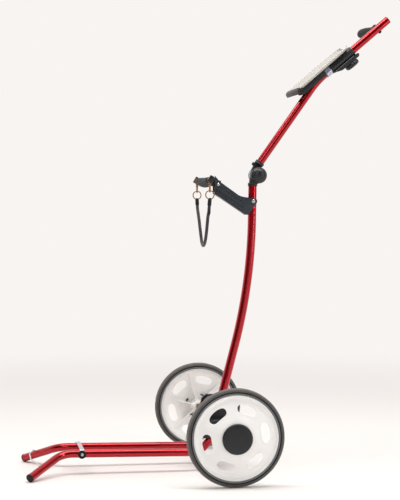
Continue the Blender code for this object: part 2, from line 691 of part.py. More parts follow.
def make_bracket():
    """Moulded housing that carries the axle, holds both base tubes and stops the mast."""
    outline = [(-0.050, -0.038), (-0.050, -0.006), (-0.036, 0.062), (-0.024, 0.072), (0.046, 0.072),
               (0.058, 0.060), (0.058, 0.020), (0.034, -0.032), (0.020, -0.042), (-0.044, -0.042)]
    upright = frame_matrix(-ALONG_Y, in_profile(1, 0), AXLE)
    housing = plate("axle_bracket", outline, 2 * BRACKET_HALF_WIDTH, upright, BLACK_PLASTIC, FRAME, 0.004)
    lower = [(-0.050, -0.038), (-0.050, -0.010), (-0.020, 0.012), (0.020, 0.012), (0.030, 0.0),
             (0.020, -0.030), (0.008, -0.038)]
    socket_block = plate("socket_block", lower, 2 * SOCKET_BLOCK_HALF_WIDTH, upright, bevel=0.004)
    slot_depth = 0.30
    slot_back = MAST_FOOT_RADIUS + CLEARANCE
    slot_low = KNUCKLE_RADIUS + RUNNING_GAP
    slot_centre = AXLE + MAST_BACK * (slot_back - slot_depth / 2) + MAST_DIRECTION * (slot_depth / 2 - slot_low)
    slot = block("mast_slot", slot_centre, (slot_depth, 2 * SLOT_HALF_WIDTH, slot_depth),
                 axis=MAST_DIRECTION, side=MAST_BACK)
    knuckle = rod("knuckle_room", AXLE - ALONG_Y * SLOT_HALF_WIDTH, AXLE + ALONG_Y * SLOT_HALF_WIDTH,
                  KNUCKLE_RADIUS + RUNNING_GAP, segments=24)
    join(housing, socket_block)
    cut(housing, slot, knuckle)
    cut(housing, rod("axle_bore", AXLE - ALONG_Y * 0.1, AXLE + ALONG_Y * 0.1, AXLE_RADIUS + CLEARANCE, segments=24))
    for side, sign in sides():
        start, rear = base_corners(sign)[:2]
        towards = (start - rear).normalized()
        cut(housing, rod(f"tube_socket_{side}", rear, start + towards * CLEARANCE,
                         BASE_TUBE_RADIUS + CLEARANCE, segments=20))
        cut(housing, rod(f"screw_hole_{side}", screw_place(sign, 0.05), screw_place(sign, 0.0185),
                         BOLT_RADIUS + CLEARANCE, segments=12))


def screw_place(sign, y):
    return AXLE + in_profile(-0.030, 0.030, sign * y)


def make_bracket_screw(side, sign):
    out = frame_matrix(ALONG_Y * sign, in_profile(1, 0), screw_place(sign, BRACKET_HALF_WIDTH + CLEARANCE))
    profile = [(0.0, 0.0030), (0.0025, 0.0030), (0.0045, 0.0014), (0.0045, 0.0),
               (BOLT_RADIUS, 0.0), (BOLT_RADIUS, -0.0110), (0.0, -0.0110)]
    pin(f"bracket_screw_{side}", profile, out, STEEL, FRAME, 12)


# ---------------------------------------------------------------- mast and folding hinge
def make_mast():
    low = AXLE + MAST_DIRECTION * MAST_SOCKET
    route = rounded_route([low, MAST_CORNER_POINT, MAST_END], [MAST_BEND_RADIUS], 7)
    tube = swept("mast_tube", route, MAST_RADIUS, RED_ALUMINIUM, MAST, 6, wall=MAST_WALL)
    cut(tube, rod("holder_pin_hole", HOLDER_PIN - ALONG_Y * 0.03, HOLDER_PIN + ALONG_Y * 0.03,
                  HOLDER_PIN_RADIUS + CLEARANCE, segments=16))


def make_mast_foot():
    foot = rod("mast_foot", AXLE - ALONG_Y * KNUCKLE_HALF_WIDTH, AXLE + ALONG_Y * KNUCKLE_HALF_WIDTH,
               KNUCKLE_RADIUS, BLACK_PLASTIC, MAST, 32)
    sleeve = rod("foot_sleeve", AXLE + MAST_DIRECTION * 0.010, AXLE + MAST_DIRECTION * MAST_FOOT_LENGTH,
                 min(MAST_FOOT_RADIUS, KNUCKLE_HALF_WIDTH), segments=32)
    join(foot, sleeve)
    cut(foot, rod("foot_bore", AXLE - ALONG_Y * 0.03, AXLE + ALONG_Y * 0.03, AXLE_RADIUS + CLEARANCE, segments=24))
    cut(foot, rod("tube_bore", AXLE + MAST_DIRECTION * (MAST_SOCKET - CLEARANCE),
                  AXLE + MAST_DIRECTION * 0.12, MAST_RADIUS + CLEARANCE, segments=32))


def leaf(name, sign, tube_end, along, centre_on_tube, finish, pivot, tube_radius):
    """Hinge leaf: a round cheek on the pivot with a collar that holds a tube's end."""
    inner = CLEARANCE / 2
    cheek = rod(name, PIVOT + ALONG_Y * sign * inner, PIVOT + ALONG_Y * sign * (inner + HINGE_LEAF),
                HINGE_RADIUS, finish, pivot, 32)
    top = centre_on_tube - along * 0.004
    neck = tube_end + along * COLLAR_LENGTH
    join(cheek, rod(f"{name}_collar", top, neck, COLLAR_RADIUS, segments=32))
    room = HINGE_RADIUS + RUNNING_GAP
    cut(cheek, rod(f"{name}_room", PIVOT + ALONG_Y * sign * inner, PIVOT - ALONG_Y * sign * 0.03, room, segments=32))
    cut(cheek, rod(f"{name}_bore", tube_end - along * CLEARANCE, tube_end + along * 0.05,
                   tube_radius + CLEARANCE, segments=32))
    cut(cheek, rod(f"{name}_bolt", PIVOT - ALONG_Y * 0.03, PIVOT + ALONG_Y * 0.03,
                   HINGE_BOLT_RADIUS + CLEARANCE, segments=12))
    return cheek


def make_hinge():
    leaf("hinge_lower_leaf", -1, MAST_END, -MAST_TOP_DIRECTION, MAST_END + MAST_TOP_DIRECTION * 0.010,
         BLACK_PLASTIC, MAST, MAST_RADIUS)
    handle_low = HANDLE_FOOT + HANDLE_DIRECTION * HANDLE_START
    leaf("hinge_upper_leaf", 1, handle_low, HANDLE_DIRECTION, handle_low - HANDLE_DIRECTION * 0.010,
         BLACK_PLASTIC, HANDLE, HANDLE_RADIUS)
    leaf_out = CLEARANCE / 2 + HINGE_LEAF + CLEARANCE
    plate_matrix = frame_matrix(ALONG_Y, in_profile(1, 0), PIVOT + ALONG_Y * leaf_out)
    hole = HINGE_BOLT_RADIUS + CLEARANCE
    ring = [(hole, HINGE_PLATE_THICKNESS), (HINGE_PLATE_RADIUS - 0.001, HINGE_PLATE_THICKNESS),
            (HINGE_PLATE_RADIUS, HINGE_PLATE_THICKNESS - 0.001), (HINGE_PLATE_RADIUS, 0.0), (hole, 0.0)]
    turned("hinge_plate", ring, plate_matrix, STEEL, MAST, 28)
    head = HINGE_PLATE_THICKNESS + CLEARANCE
    knob_face = -2 * leaf_out
    bolt_profile = [(0.0, head + 0.0045), (0.0050, head + 0.0036), (0.0080, head), (HINGE_BOLT_RADIUS, head),
                    (HINGE_BOLT_RADIUS, knob_face - 0.014), (0.0, knob_face - 0.014)]
    pin("hinge_bolt", bolt_profile, plate_matrix, STEEL, MAST, 16)


def make_hinge_knob():
    out = frame_matrix(-ALONG_Y, in_profile(1, 0), PIVOT - ALONG_Y * (CLEARANCE / 2 + HINGE_LEAF + CLEARANCE))
    depth, radius = KNOB_DEPTH, KNOB_RADIUS
    hole = HINGE_BOLT_RADIUS + CLEARANCE
    profile = [(0.0, depth), (radius * 0.35, depth - 0.0008), (radius * 0.66, depth - 0.0035),
               (radius * 0.88, depth - 0.0080), (radius, depth - 0.0140), (radius, depth - 0.0190),
               (radius * 0.86, 0.0030), (radius * 0.60, 0.0), (hole, 0.0), (hole, 0.0150), (0.0, 0.0150)]
    pin("hinge_knob", profile, out, BLACK_PLASTIC, HINGE_KNOB_AXIS, 28)


# ---------------------------------------------------------------- handle
def make_handle():
    low = HANDLE_FOOT + HANDLE_DIRECTION * HANDLE_START
    route = rounded_route([low, HANDLE_CORNER, HANDLE_END], [HANDLE_BEND_RADIUS], 6)
    tube = swept("handle_tube", route, HANDLE_RADIUS, RED_ALUMINIUM, HANDLE, 6, wall=HANDLE_WALL)
    grip_axis = on_handle(GRIP_PLACE, GRIP_FRONT)
    cut(tube, rod("grip_rod_hole", grip_axis, grip_axis + ALONG_Y * 0.03, GRIP_ROD_RADIUS + CLEARANCE, segments=16))
    cut(tube, rod("grip_screw_hole", grip_axis, grip_axis - TOP_FRONT * 0.03, BOLT_RADIUS + CLEARANCE, segments=12))
    inner = HANDLE_RADIUS - HANDLE_WALL - CLEARANCE
    profile = [(0.0, PLUG_FLANGE), (HANDLE_RADIUS - 0.0012, PLUG_FLANGE), (HANDLE_RADIUS, PLUG_FLANGE - 0.0012),
               (HANDLE_RADIUS, 0.0), (inner, 0.0), (inner, -0.018), (0.0, -0.018)]
    matrix = frame_matrix(TOP_DIRECTION, ALONG_Y, HANDLE_END + TOP_DIRECTION * CLEARANCE)
    pin("handle_plug", profile, matrix, BLACK_PLASTIC, HANDLE, 20)


def make_grip():
    axis = on_handle(GRIP_PLACE, GRIP_FRONT)
    start = HANDLE_RADIUS + CLEARANCE
    matrix = frame_matrix(ALONG_Y, in_profile(1, 0), axis + ALONG_Y * start)
    bore = GRIP_ROD_RADIUS + CLEARANCE
    length, stem, bulb = GRIP_LENGTH, GRIP_STEM_RADIUS, GRIP_BULB_RADIUS
    profile = [(0.0, length), (bulb * 0.5, length - 0.0016), (bulb * 0.85, length - 0.0060),
               (bulb, length - 0.0140), (bulb * 0.97, length - 0.0350), (bulb * 0.82, length * 0.56),
               (stem * 1.15, length * 0.32), (stem, length * 0.14), (stem * 1.15, 0.0), (bore, 0.0),
               (bore, length * 0.80), (0.0, length * 0.80)]
    pin("grip", profile, matrix, BLACK_RUBBER, HANDLE, 20)
    rod("grip_rod", axis - ALONG_Y * 0.0030,
        axis + ALONG_Y * (start + length * 0.79), GRIP_ROD_RADIUS, STEEL, HANDLE, 20)
    under = frame_matrix(-TOP_FRONT, ALONG_Y, on_handle(GRIP_PLACE, -HANDLE_RADIUS - CLEARANCE))
    inside = -(HANDLE_RADIUS + GRIP_FRONT - GRIP_ROD_RADIUS) + 0.0002
    profile = [(0.0, 0.0032), (0.0030, 0.0028), (0.0052, 0.0010), (0.0052, 0.0), (BOLT_RADIUS, 0.0),
               (BOLT_RADIUS, inside), (0.0, inside)]
    pin("grip_screw", profile, under, STEEL, HANDLE, 12)


def collar_on_handle(name, start, length, outer, finish, segments=36):
    ring = rod(name, on_handle(start), on_handle(start + length), outer, finish, HANDLE, segments)
    return cut(ring, rod(f"{name}_bore", on_handle(start - 0.02), on_handle(start + length + 0.02),
                         HANDLE_RADIUS + CLEARANCE, segments=segments))


def make_console():
    """Sleeve with the card board's arm above it and the clamp's mount below it."""
    collar_on_handle("console_sleeve", SLEEVE_START, SLEEVE_LENGTH, SLEEVE_RADIUS, BLACK_PLASTIC)
    collar_on_handle("console_band", BAND_START, BAND_LENGTH, BAND_RADIUS, STEEL)
    board_front = SLEEVE_RADIUS + CLEARANCE
    arm_end = BAND_START - CLEARANCE
    arm_length = arm_end - ARM_LOW
    room = HANDLE_RADIUS + 0.0008
    middle = on_handle((arm_end + ARM_LOW) / 2, board_front - CLEARANCE - ARM_DEPTH / 2)
    arm = block("card_arm", middle, (ARM_DEPTH, 2 * (room + ARM_THICKNESS), arm_length), BLACK_PLASTIC, HANDLE,
                axis=TOP_DIRECTION, side=TOP_FRONT)
    hollow_middle = on_handle((arm_end + ARM_LOW) / 2, board_front - CLEARANCE - ARM_THICKNESS - 0.03)
    hollow = block("arm_hollow", hollow_middle, (0.06, 2 * room, arm_length + 0.02),
                   axis=TOP_DIRECTION, side=TOP_FRONT)
    cut(arm, hollow)
    make_board(board_front)
    make_mount_block()


def make_board(front):
    half, top, corner = BOARD_WIDTH / 2, BOARD_LENGTH, BOARD_CORNER
    outline = [(-half, 0.0), (half, 0.0)]
    for step in range(7):
        angle = math.pi / 2 * step / 6
        outline.append((half - corner + corner * math.cos(angle), top - corner + corner * math.sin(angle)))
    for step in range(7):
        angle = math.pi / 2 * (1 + step / 6)
        outline.append((corner - half + corner * math.cos(angle), top - corner + corner * math.sin(angle)))
    origin = on_handle(BOARD_LOW, front + BOARD_THICKNESS / 2)
    matrix = frame_matrix(TOP_FRONT, -ALONG_Y, origin)
    plate("card_board", outline, BOARD_THICKNESS, matrix, CLEAR_PLASTIC, HANDLE)


def make_card_clip():
    """Sprung bar that turns on a pin below the board's lower edge and presses on its front."""
    outline = [(0.0120, -0.0027), (0.0120, 0.0030), (0.0105, CLIP_REACH - 0.0008), (0.0085, CLIP_REACH),
               (-0.0010, CLIP_REACH), (-0.0050, 0.0026), (-0.0075, -0.0020), (-0.0070, -0.0080),
               (-0.0040, -0.0090), (-0.0024, -0.0080), (-0.0020, -0.0027)]
    half = BOARD_WIDTH / 2 - 0.004
    matrix = frame_matrix(-ALONG_Y, TOP_DIRECTION, CLIP_PIN)
    clip = plate("card_clip", outline, 2 * half, matrix, SMOKE_PLASTIC, CLIP_AXIS)
    bore = rod("clip_bore", CLIP_PIN - ALONG_Y * 0.09, CLIP_PIN + ALONG_Y * 0.09, 0.0015 + CLEARANCE, segments=16)
    cut(clip, bore)
    rod("card_clip_pin", CLIP_PIN - ALONG_Y * (half - 0.002), CLIP_PIN + ALONG_Y * (half - 0.002), 0.0015,
        STEEL, HANDLE, 12)


def make_mount_block():
    """Block under the sleeve that the clamp's knob draws up against the tube."""
    low = -SLEEVE_RADIUS - CLEARANCE
    start = SLEEVE_START + 0.0100
    centre = on_handle(start + MOUNT_LENGTH / 2, low - MOUNT_HEIGHT / 2)
    mount = block("console_mount", centre, (MOUNT_HEIGHT, MOUNT_WIDTH, MOUNT_LENGTH), BLACK_PLASTIC, HANDLE,
                  axis=TOP_DIRECTION, side=TOP_FRONT)
    add_bevel(mount, 0.003, 2)
    middle = on_handle(CONSOLE_KNOB_PLACE)
    cut(mount, rod("mount_hole", middle + TOP_FRONT * low * 0.9, middle + TOP_FRONT * (low - 0.03),
                   0.0030 + CLEARANCE, segments=16))
    face = low - MOUNT_HEIGHT - CLEARANCE
    down = frame_matrix(-TOP_FRONT, ALONG_Y, on_handle(CONSOLE_KNOB_PLACE, face))
    deep, radius = CONSOLE_KNOB_HEIGHT, CONSOLE_KNOB_RADIUS
    bore = 0.0030 + CLEARANCE
    profile = [(0.0, deep), (radius * 0.80, deep), (radius * 0.95, deep - 0.0020), (radius, deep - 0.0050),
               (radius, 0.0030), (radius * 0.9, 0.0), (bore, 0.0), (bore, 0.0090), (0.0, 0.0090)]
    pin("console_knob", profile, down, BLACK_PLASTIC, CONSOLE_KNOB_AXIS, 24)
    screw = [(0.0, 0.0085), (0.0030, 0.0085), (0.0030, -MOUNT_HEIGHT), (0.0, -MOUNT_HEIGHT)]
    pin("console_screw", screw, down, STEEL, HANDLE, 16)


# ---------------------------------------------------------------- bag holder and strap
def make_holder():
    """Channel arm: two cheeks that straddle the mast and a web that rests against its front."""
    outline = [(-0.1106, 0.0708), (-0.0966, 0.0545), (-0.0375, 0.0130), (0.0070, 0.0070), (0.0110, 0.0020),
               (0.0105, -0.0040), (0.0055, -0.0110), (-0.0070, -0.0280), (-0.0130, -0.0390),
               (-0.0218, -0.0382), (-0.0350, -0.0265), (-0.1104, 0.0201)]
    width = 2 * (HOLDER_INNER_HALF_WIDTH + HOLDER_CHEEK)
    upright = frame_matrix(-ALONG_Y, in_profile(1, 0), HOLDER_PIN)
    arm = plate("holder_arm", outline, width, upright, BLACK_PLASTIC, HOLDER)
    start = in_profile(-0.0218, -0.0382)
    tip = in_profile(-0.1104, 0.0201)
    slope = (tip - start).normalized()
    inwards = Vector((-slope.z, 0, slope.x)) * -1
    floor = HOLDER_PIN + start + inwards * HOLDER_WEB
    depth = 0.12
    room = block("channel_room", floor + inwards * depth / 2 + slope * 0.05,
                 (0.40, 2 * HOLDER_INNER_HALF_WIDTH, depth), axis=inwards, side=slope)
    mast_room = block("mast_room", HOLDER_PIN + in_profile(0.05 - MAST_RADIUS - CLEARANCE - 0.0004, 0),
                      (0.10, 2 * HOLDER_INNER_HALF_WIDTH, 0.14), axis=MAST_TOP_DIRECTION)
    pin_hole = rod("pin_hole", HOLDER_PIN - ALONG_Y * 0.03, HOLDER_PIN + ALONG_Y * 0.03,
                   HOLDER_PIN_RADIUS + CLEARANCE, segments=20)
    rivet_at = cradle_rivet_place()
    rivet_hole = rod("rivet_hole", rivet_at - ALONG_Y * 0.03, rivet_at + ALONG_Y * 0.03,
                     BOLT_RADIUS + CLEARANCE, segments=12)
    cut(arm, room, mast_room, pin_hole, rivet_hole)


def cheek_bolt(name, place, radius, head_radius, finish, pivot):
    """Bolt across the channel with a domed head on each cheek."""
    out = HOLDER_INNER_HALF_WIDTH + HOLDER_CHEEK + CLEARANCE
    matrix = frame_matrix(-ALONG_Y, in_profile(1, 0), place)
    dome = [(0.0, out + 0.0026), (head_radius * 0.6, out + 0.0020), (head_radius, out + 0.0006), (head_radius, out)]
    other = [(r, -z) for r, z in reversed(dome)]
    pin(name, dome + [(radius, out), (radius, -out)] + other, matrix, finish, pivot, 12)


def cradle_rivet_place():
    return CRADLE + in_profile(0.0400, -0.0110)


def make_cradle():
    count = 12
    points, radii = [], []
    for index in range(count + 1):
        along = index / count * 2 - 1
        points.append(CRADLE + Vector((-CRADLE_BOW * along * along + CRADLE_BOW, CRADLE_HALF_LENGTH * along,
                                       -0.0060 * (1 - along * along))))
        share = 1 - abs(along) ** 2.2
        radii.append((CRADLE_END_RADIUS + (CRADLE_MIDDLE_RADIUS - CRADLE_END_RADIUS) * share) / CRADLE_END_RADIUS)
    cradle = swept("cradle", points, CRADLE_END_RADIUS, BLACK_RUBBER, HOLDER, 5, radii)
    lug_width = 2 * (HOLDER_INNER_HALF_WIDTH - CLEARANCE)
    lug = block("cradle_lug", CRADLE + in_profile(0.0290, -0.0080), (0.038, lug_width, 0.016))
    join(cradle, lug)
    rivet_at = cradle_rivet_place()
    cut(cradle, rod("lug_hole", rivet_at - ALONG_Y * 0.03, rivet_at + ALONG_Y * 0.03,
                    BOLT_RADIUS + CLEARANCE, segments=12))
    for side, sign in sides():
        blind = rod(f"neck_bore_{side}", CRADLE + ALONG_Y * sign * (CRADLE_HALF_LENGTH - 0.0180),
                    CRADLE + ALONG_Y * sign * (CRADLE_HALF_LENGTH + 0.02), NECK_RADIUS + CLEARANCE, segments=20)
        cut(cradle, blind)
    cheek_bolt("cradle_rivet", rivet_at, BOLT_RADIUS, 0.0042, STEEL, HOLDER)
    cheek_bolt("holder_pin", HOLDER_PIN, HOLDER_PIN_RADIUS, 0.0052, STEEL, MAST)


def make_cradle_end(side, sign):
    """Square end of the cradle on a round neck, which the strap's hook hangs on."""
    out = CRADLE_HALF_LENGTH + NECK_LENGTH
    tilt = in_profile(math.sin(math.radians(30)), math.cos(math.radians(30)))
    tab = block(f"cradle_end_{side}", CRADLE + ALONG_Y * sign * (out + TAB_THICKNESS / 2) + in_profile(0.0, 0.002),
                (0.0120, TAB_THICKNESS, 0.0190), BLACK_PLASTIC, HOLDER, axis=tilt)
    add_bevel(tab, 0.0015, 2)
    neck = rod(f"neck_{side}", CRADLE + ALONG_Y * sign * (CRADLE_HALF_LENGTH - 0.0175),
               CRADLE + ALONG_Y * sign * (out + TAB_THICKNESS / 2), NECK_RADIUS, segments=20)
    join(tab, neck)


HOOK_Y = CRADLE_HALF_LENGTH + NECK_LENGTH / 2
RING_CENTRE = CRADLE + in_profile(0, -0.0410)


def circle_points(centre, radius, first, second, count):
    return [centre + first * radius * math.cos(2 * math.pi * k / count)
            + second * radius * math.sin(2 * math.pi * k / count) for k in range(count)]


def make_hook(side, sign):
    """Snap hook: an eye round the cradle's neck, a swivel barrel and a hook that holds the ring."""
    across = Vector((1, 0, 0))
    middle = CRADLE + ALONG_Y * sign * HOOK_Y
    hook = swept(f"snap_hook_{side}", circle_points(middle, EYE_RADIUS, across, UP, 16), HOOK_WIRE,
                 BRASS, STRAP, 2, cyclic=True)
    barrel = rod(f"barrel_{side}", middle - UP * (EYE_RADIUS + 0.0005), middle - UP * 0.0175, 0.0028, segments=16)
    low = middle - UP * 0.0250
    loop = []
    for step in range(8):
        angle = math.pi * step / 7
        loop.append(low + ALONG_Y * 0.0045 * math.cos(angle) + UP * (0.0052 + 0.0040 * math.sin(angle)))
    for step in range(8):
        angle = math.pi * (1 + step / 7)
        loop.append(low + ALONG_Y * 0.0045 * math.cos(angle) + UP * (-0.0035 + 0.0045 * math.sin(angle)))
    link = swept(f"hook_loop_{side}", loop, HOOK_WIRE, resolution=2, cyclic=True)
    join(hook, barrel, link)


def make_ring(side, sign):
    middle = RING_CENTRE + ALONG_Y * sign * HOOK_Y
    across = Vector((1, 0, 0))
    swept(f"split_ring_{side}", circle_points(middle, RING_RADIUS, across, UP, 20), RING_WIRE,
          BRASS, STRAP, 2, cyclic=True)


# Elastic strap's route, as offsets from the cradle's middle: sideways and down.
STRAP_ROUTE = ((0.0985, -0.0690), (0.0955, -0.0780), (0.0830, -0.0930), (0.0660, -0.1130), (0.0520, -0.1330),
               (0.0390, -0.1510), (0.0270, -0.1660), (0.0140, -0.1770), (-0.0010, -0.1820), (-0.0170, -0.1795),
               (-0.0320, -0.1705), (-0.0450, -0.1570), (-0.0560, -0.1400), (-0.0660, -0.1200), (-0.0760, -0.1000),
               (-0.0890, -0.0870), (-0.0928, -0.0786), (-0.0965, -0.0700))


def strap_ends():
    left = CRADLE + Vector((0, STRAP_ROUTE[0][0], STRAP_ROUTE[0][1]))
    right = CRADLE + Vector((0, STRAP_ROUTE[-1][0], STRAP_ROUTE[-1][1]))
    return {"left": left, "right": right}


def make_strap():
    knots = [CRADLE + Vector((0, y, z)) for y, z in STRAP_ROUTE]
    swept("strap_cord", smooth_route(knots, 0.0095), CORD_RADIUS, CORD_BLACK, STRAP, 2)
    for side, sign in sides():
        end = strap_ends()[side]
        ring_low = RING_CENTRE + ALONG_Y * sign * HOOK_Y - UP * RING_RADIUS
        towards = (ring_low - end).normalized()
        ferrule = rod(f"strap_end_{side}", end + towards * 0.0009, ring_low + towards * 0.0035,
                      0.0056, BLACK_RUBBER, STRAP, 20)
        ring_room = swept(f"ring_room_{side}", circle_points(RING_CENTRE + ALONG_Y * sign * HOOK_Y, RING_RADIUS,
                                                             Vector((1, 0, 0)), UP, 20),
                          RING_WIRE + CLEARANCE, resolution=2, cyclic=True)
        cut(ferrule, ring_room)


# ---------------------------------------------------------------- assembly
for wheel_side, wheel_sign in sides():
    make_tyre(wheel_side, wheel_sign)
    make_wheel(wheel_side, wheel_sign)
    make_hub_cap(wheel_side, wheel_sign)
    make_bush(wheel_side, wheel_sign)
    make_push_nut(wheel_side, wheel_sign)
    make_base_tube(wheel_side, wheel_sign)
    make_foot_cap(wheel_side, wheel_sign)
    make_crossbar_fastener(wheel_side, wheel_sign)
    make_bracket_screw(wheel_side, wheel_sign)
    make_cradle_end(wheel_side, wheel_sign)
    make_hook(wheel_side, wheel_sign)
    make_ring(wheel_side, wheel_sign)
make_axle()
make_crossbar()
swept("bag_stop_wire", wire_route(), WIRE_RADIUS, STEEL, FRAME, 3)
make_bracket()
make_mast()
make_mast_foot()
make_hinge()
make_hinge_knob()
make_handle()
make_grip()
make_console()
make_card_clip()
make_holder()
make_cradle()
make_strap()
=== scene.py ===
"""Looks of a two-wheel golf pull trolley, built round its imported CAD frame."""

import json
import math

import bmesh
import bpy
from bpy.props import FloatProperty, FloatVectorProperty, IntProperty, PointerProperty
from mathutils import Matrix, Vector


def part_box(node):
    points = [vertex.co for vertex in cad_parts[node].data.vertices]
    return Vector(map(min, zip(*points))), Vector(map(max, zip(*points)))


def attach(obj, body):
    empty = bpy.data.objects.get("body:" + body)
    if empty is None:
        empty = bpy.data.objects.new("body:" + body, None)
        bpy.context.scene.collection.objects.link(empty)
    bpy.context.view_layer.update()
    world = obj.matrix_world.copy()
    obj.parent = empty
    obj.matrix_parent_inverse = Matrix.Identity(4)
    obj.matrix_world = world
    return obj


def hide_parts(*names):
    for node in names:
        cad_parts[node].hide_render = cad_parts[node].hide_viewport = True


bl_info = {
    "name": "Golf Pull Trolley",
    "version": (1, 0, 0),
    "blender": (4, 5, 0),
    "location": "View3D > Sidebar > Trolley",
    "description": "Builds the visible pieces of a two-wheel golf pull trolley",
    "category": "Add Mesh",
}

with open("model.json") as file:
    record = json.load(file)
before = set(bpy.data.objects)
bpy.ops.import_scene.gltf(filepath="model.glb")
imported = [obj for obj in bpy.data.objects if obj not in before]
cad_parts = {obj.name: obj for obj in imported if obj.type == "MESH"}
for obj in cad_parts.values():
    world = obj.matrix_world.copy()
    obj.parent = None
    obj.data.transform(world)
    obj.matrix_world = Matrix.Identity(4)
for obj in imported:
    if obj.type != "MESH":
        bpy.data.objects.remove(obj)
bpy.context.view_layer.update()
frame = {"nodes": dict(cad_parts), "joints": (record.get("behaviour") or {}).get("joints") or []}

MM = 0.001
# Gap between a piece and what it goes round, as in the CAD.
CLEARANCE = 0.0003
X = Vector((1, 0, 0))
Y = Vector((0, 1, 0))
Z = Vector((0, 0, 1))
SIDES = (("left", 1), ("right", -1))
JOINT = {joint["name"]: Vector(joint["pos_m"]) for joint in frame["joints"]}


def middle(node):
    low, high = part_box(node)
    return (low + high) / 2


# ---------------------------------------------------------------- places taken from the frame
AXLE = middle("axle")
TRACK = JOINT["wheel_left_spin"].y * 2
PIVOT = JOINT["handle_fold"]
HOLDER_PIN = JOINT["holder_lift"]
CRADLE = JOINT["strap_swing"]
CLIP_PIN = JOINT["card_clip_lift"]

MAST_LEAN = math.radians(14.4)
MAST_TOP_LEAN = math.radians(0.7)
MAST_DIRECTION = Vector((math.sin(MAST_LEAN), 0, math.cos(MAST_LEAN)))
MAST_TOP_DIRECTION = Vector((math.sin(MAST_TOP_LEAN), 0, math.cos(MAST_TOP_LEAN)))
MAST_CORNER = AXLE + MAST_DIRECTION * 0.388 / math.cos(MAST_LEAN)
MAST_OFFSET = 0.0125
MAST_END = PIVOT - Vector((MAST_OFFSET, 0, 0.022))
MAST_FRONT = -X

HANDLE_ANGLE = math.radians(54.8)
TOP_ANGLE = math.radians(40.8)
HANDLE_DIRECTION = Vector((math.cos(HANDLE_ANGLE), 0, math.sin(HANDLE_ANGLE)))
HANDLE_FRONT = Vector((-math.sin(HANDLE_ANGLE), 0, math.cos(HANDLE_ANGLE)))
TOP_DIRECTION = Vector((math.cos(TOP_ANGLE), 0, math.sin(TOP_ANGLE)))
TOP_FRONT = Vector((-math.sin(TOP_ANGLE), 0, math.cos(TOP_ANGLE)))
HANDLE_OFFSET = 0.0141
HANDLE_START = 0.028
HANDLE_FOOT = PIVOT + HANDLE_FRONT * HANDLE_OFFSET
HANDLE_CORNER = HANDLE_FOOT + HANDLE_DIRECTION * 0.318
HANDLE_LENGTH = 0.2697
GRIP_ALONG = 0.232


def on_handle(along, front=0.0, y=0.0):
    """Point beside the handle's upper stretch: along it, off its front and sideways."""
    return HANDLE_CORNER + TOP_DIRECTION * along + TOP_FRONT * front + Y * y


# ---------------------------------------------------------------- user's sizes and colours
def linear(code):
    """sRGB hex colour as linear red, green and blue."""
    values = [int(code[i:i + 2], 16) / 255 for i in (1, 3, 5)]
    return tuple(v / 12.92 if v <= 0.04045 else ((v + 0.055) / 1.055) ** 2.4 for v in values)


def length(name, description, default):
    return FloatProperty(name=name, description=description, default=default, min=0.0001, max=2.0,
                         unit="LENGTH", subtype="DISTANCE", precision=4)


def colour(name, description, code):
    return FloatVectorProperty(name=name, description=description, default=linear(code), min=0.0, max=1.0,
                               size=3, subtype="COLOR")


class TrolleySizes(bpy.types.PropertyGroup):
    wheel_radius: length("Wheel radius", "Outer radius of a tyre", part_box("tyre_left")[1].z / 2)
    tyre_width: length("Tyre width", "Width of a tyre across its sidewalls", 0.024)
    rim_radius: length("Rim radius", "Radius on which a tyre sits", 0.1127)
    opening_length: length("Opening length", "Length of a wheel disc's opening along the rim", 0.053)
    opening_width: length("Opening width", "Width of a wheel disc's opening across the rim", 0.0265)
    hub_cap_radius: length("Hub cap radius", "Radius of the cap over the axle's end", 0.0405)
    base_tube_radius: length("Base tube radius", "Outer radius of the two base tubes", 0.011)
    mast_radius: length("Mast radius", "Outer radius of the mast tube", 0.012)
    handle_radius: length("Handle radius", "Outer radius of the handle tube", 0.011)
    wire_radius: length("Stop wire radius", "Radius of the wire that stops the bag's foot", 0.0018)
    knob_radius: length("Hinge knob radius", "Radius of the knob that clamps the hinge", 0.0228)
    board_width: length("Card board width", "Width of the board for the score card", 0.150)
    board_curve: length("Card board curve", "How far the board's long edges stand above its middle", 0.0095)
    cord_diameter: length("Strap diameter", "Diameter of the elastic strap", 0.009)
    roundness: IntProperty(name="Roundness", description="Steps round a large turned piece", default=96,
                           min=24, max=192)


class TrolleyColours(bpy.types.PropertyGroup):
    lacquer: colour("Lacquer", "Red of the tubes", "#B00418")
    nylon: colour("Black plastic", "Brackets, collars and knobs", "#1B1D21")
    rubber: colour("Rubber", "Grip, cradle and caps", "#19191B")
    tyre_side: colour("Tyre side", "Sidewall of the tyres", "#4A4745")
    tyre_bead: colour("Tyre bead", "Smooth band of a tyre beside its rim", "#6E7072")
    # Painted shade: the groove's walls are near black for the shade that falls in the groove.
    tyre_groove_shade: colour("Tyre groove", "Groove round a tyre's sidewall", "#121212")
    tyre_tread: colour("Tyre tread", "Running surface of the tyres", "#6B6765")
    disc: colour("Wheel disc", "Moulded wheel discs", "#FBFAF8")
    arm: colour("Holder arm", "Slate plastic of the bag holder's arm", "#2A3037")
    board: colour("Card board", "Frosted board for the score card", "#B4B1AC")
    smoke: colour("Card clip", "Smoke-coloured clip", "#37322E")
    zinc: colour("Zinc", "Plated steel pieces", "#C3C3C6")
    band: colour("Band", "Band above the card board's arm", "#B4BCCB")
    brass: colour("Brass", "Hooks, rings and bushes", "#96703E")
    cord: colour("Strap", "Elastic strap's cover", "#1E1E20")
    backdrop: colour("Backdrop", "Floor and background", "#F8F4F2")


def sizes():
    return bpy.context.scene.trolley_sizes


def colours():
    return bpy.context.scene.trolley_colours


# ---------------------------------------------------------------- shapes
def directions(x, y, z):
    """Matrix that turns +X, +Y and +Z to three directions."""
    return Matrix((x, y, z)).transposed().to_4x4()


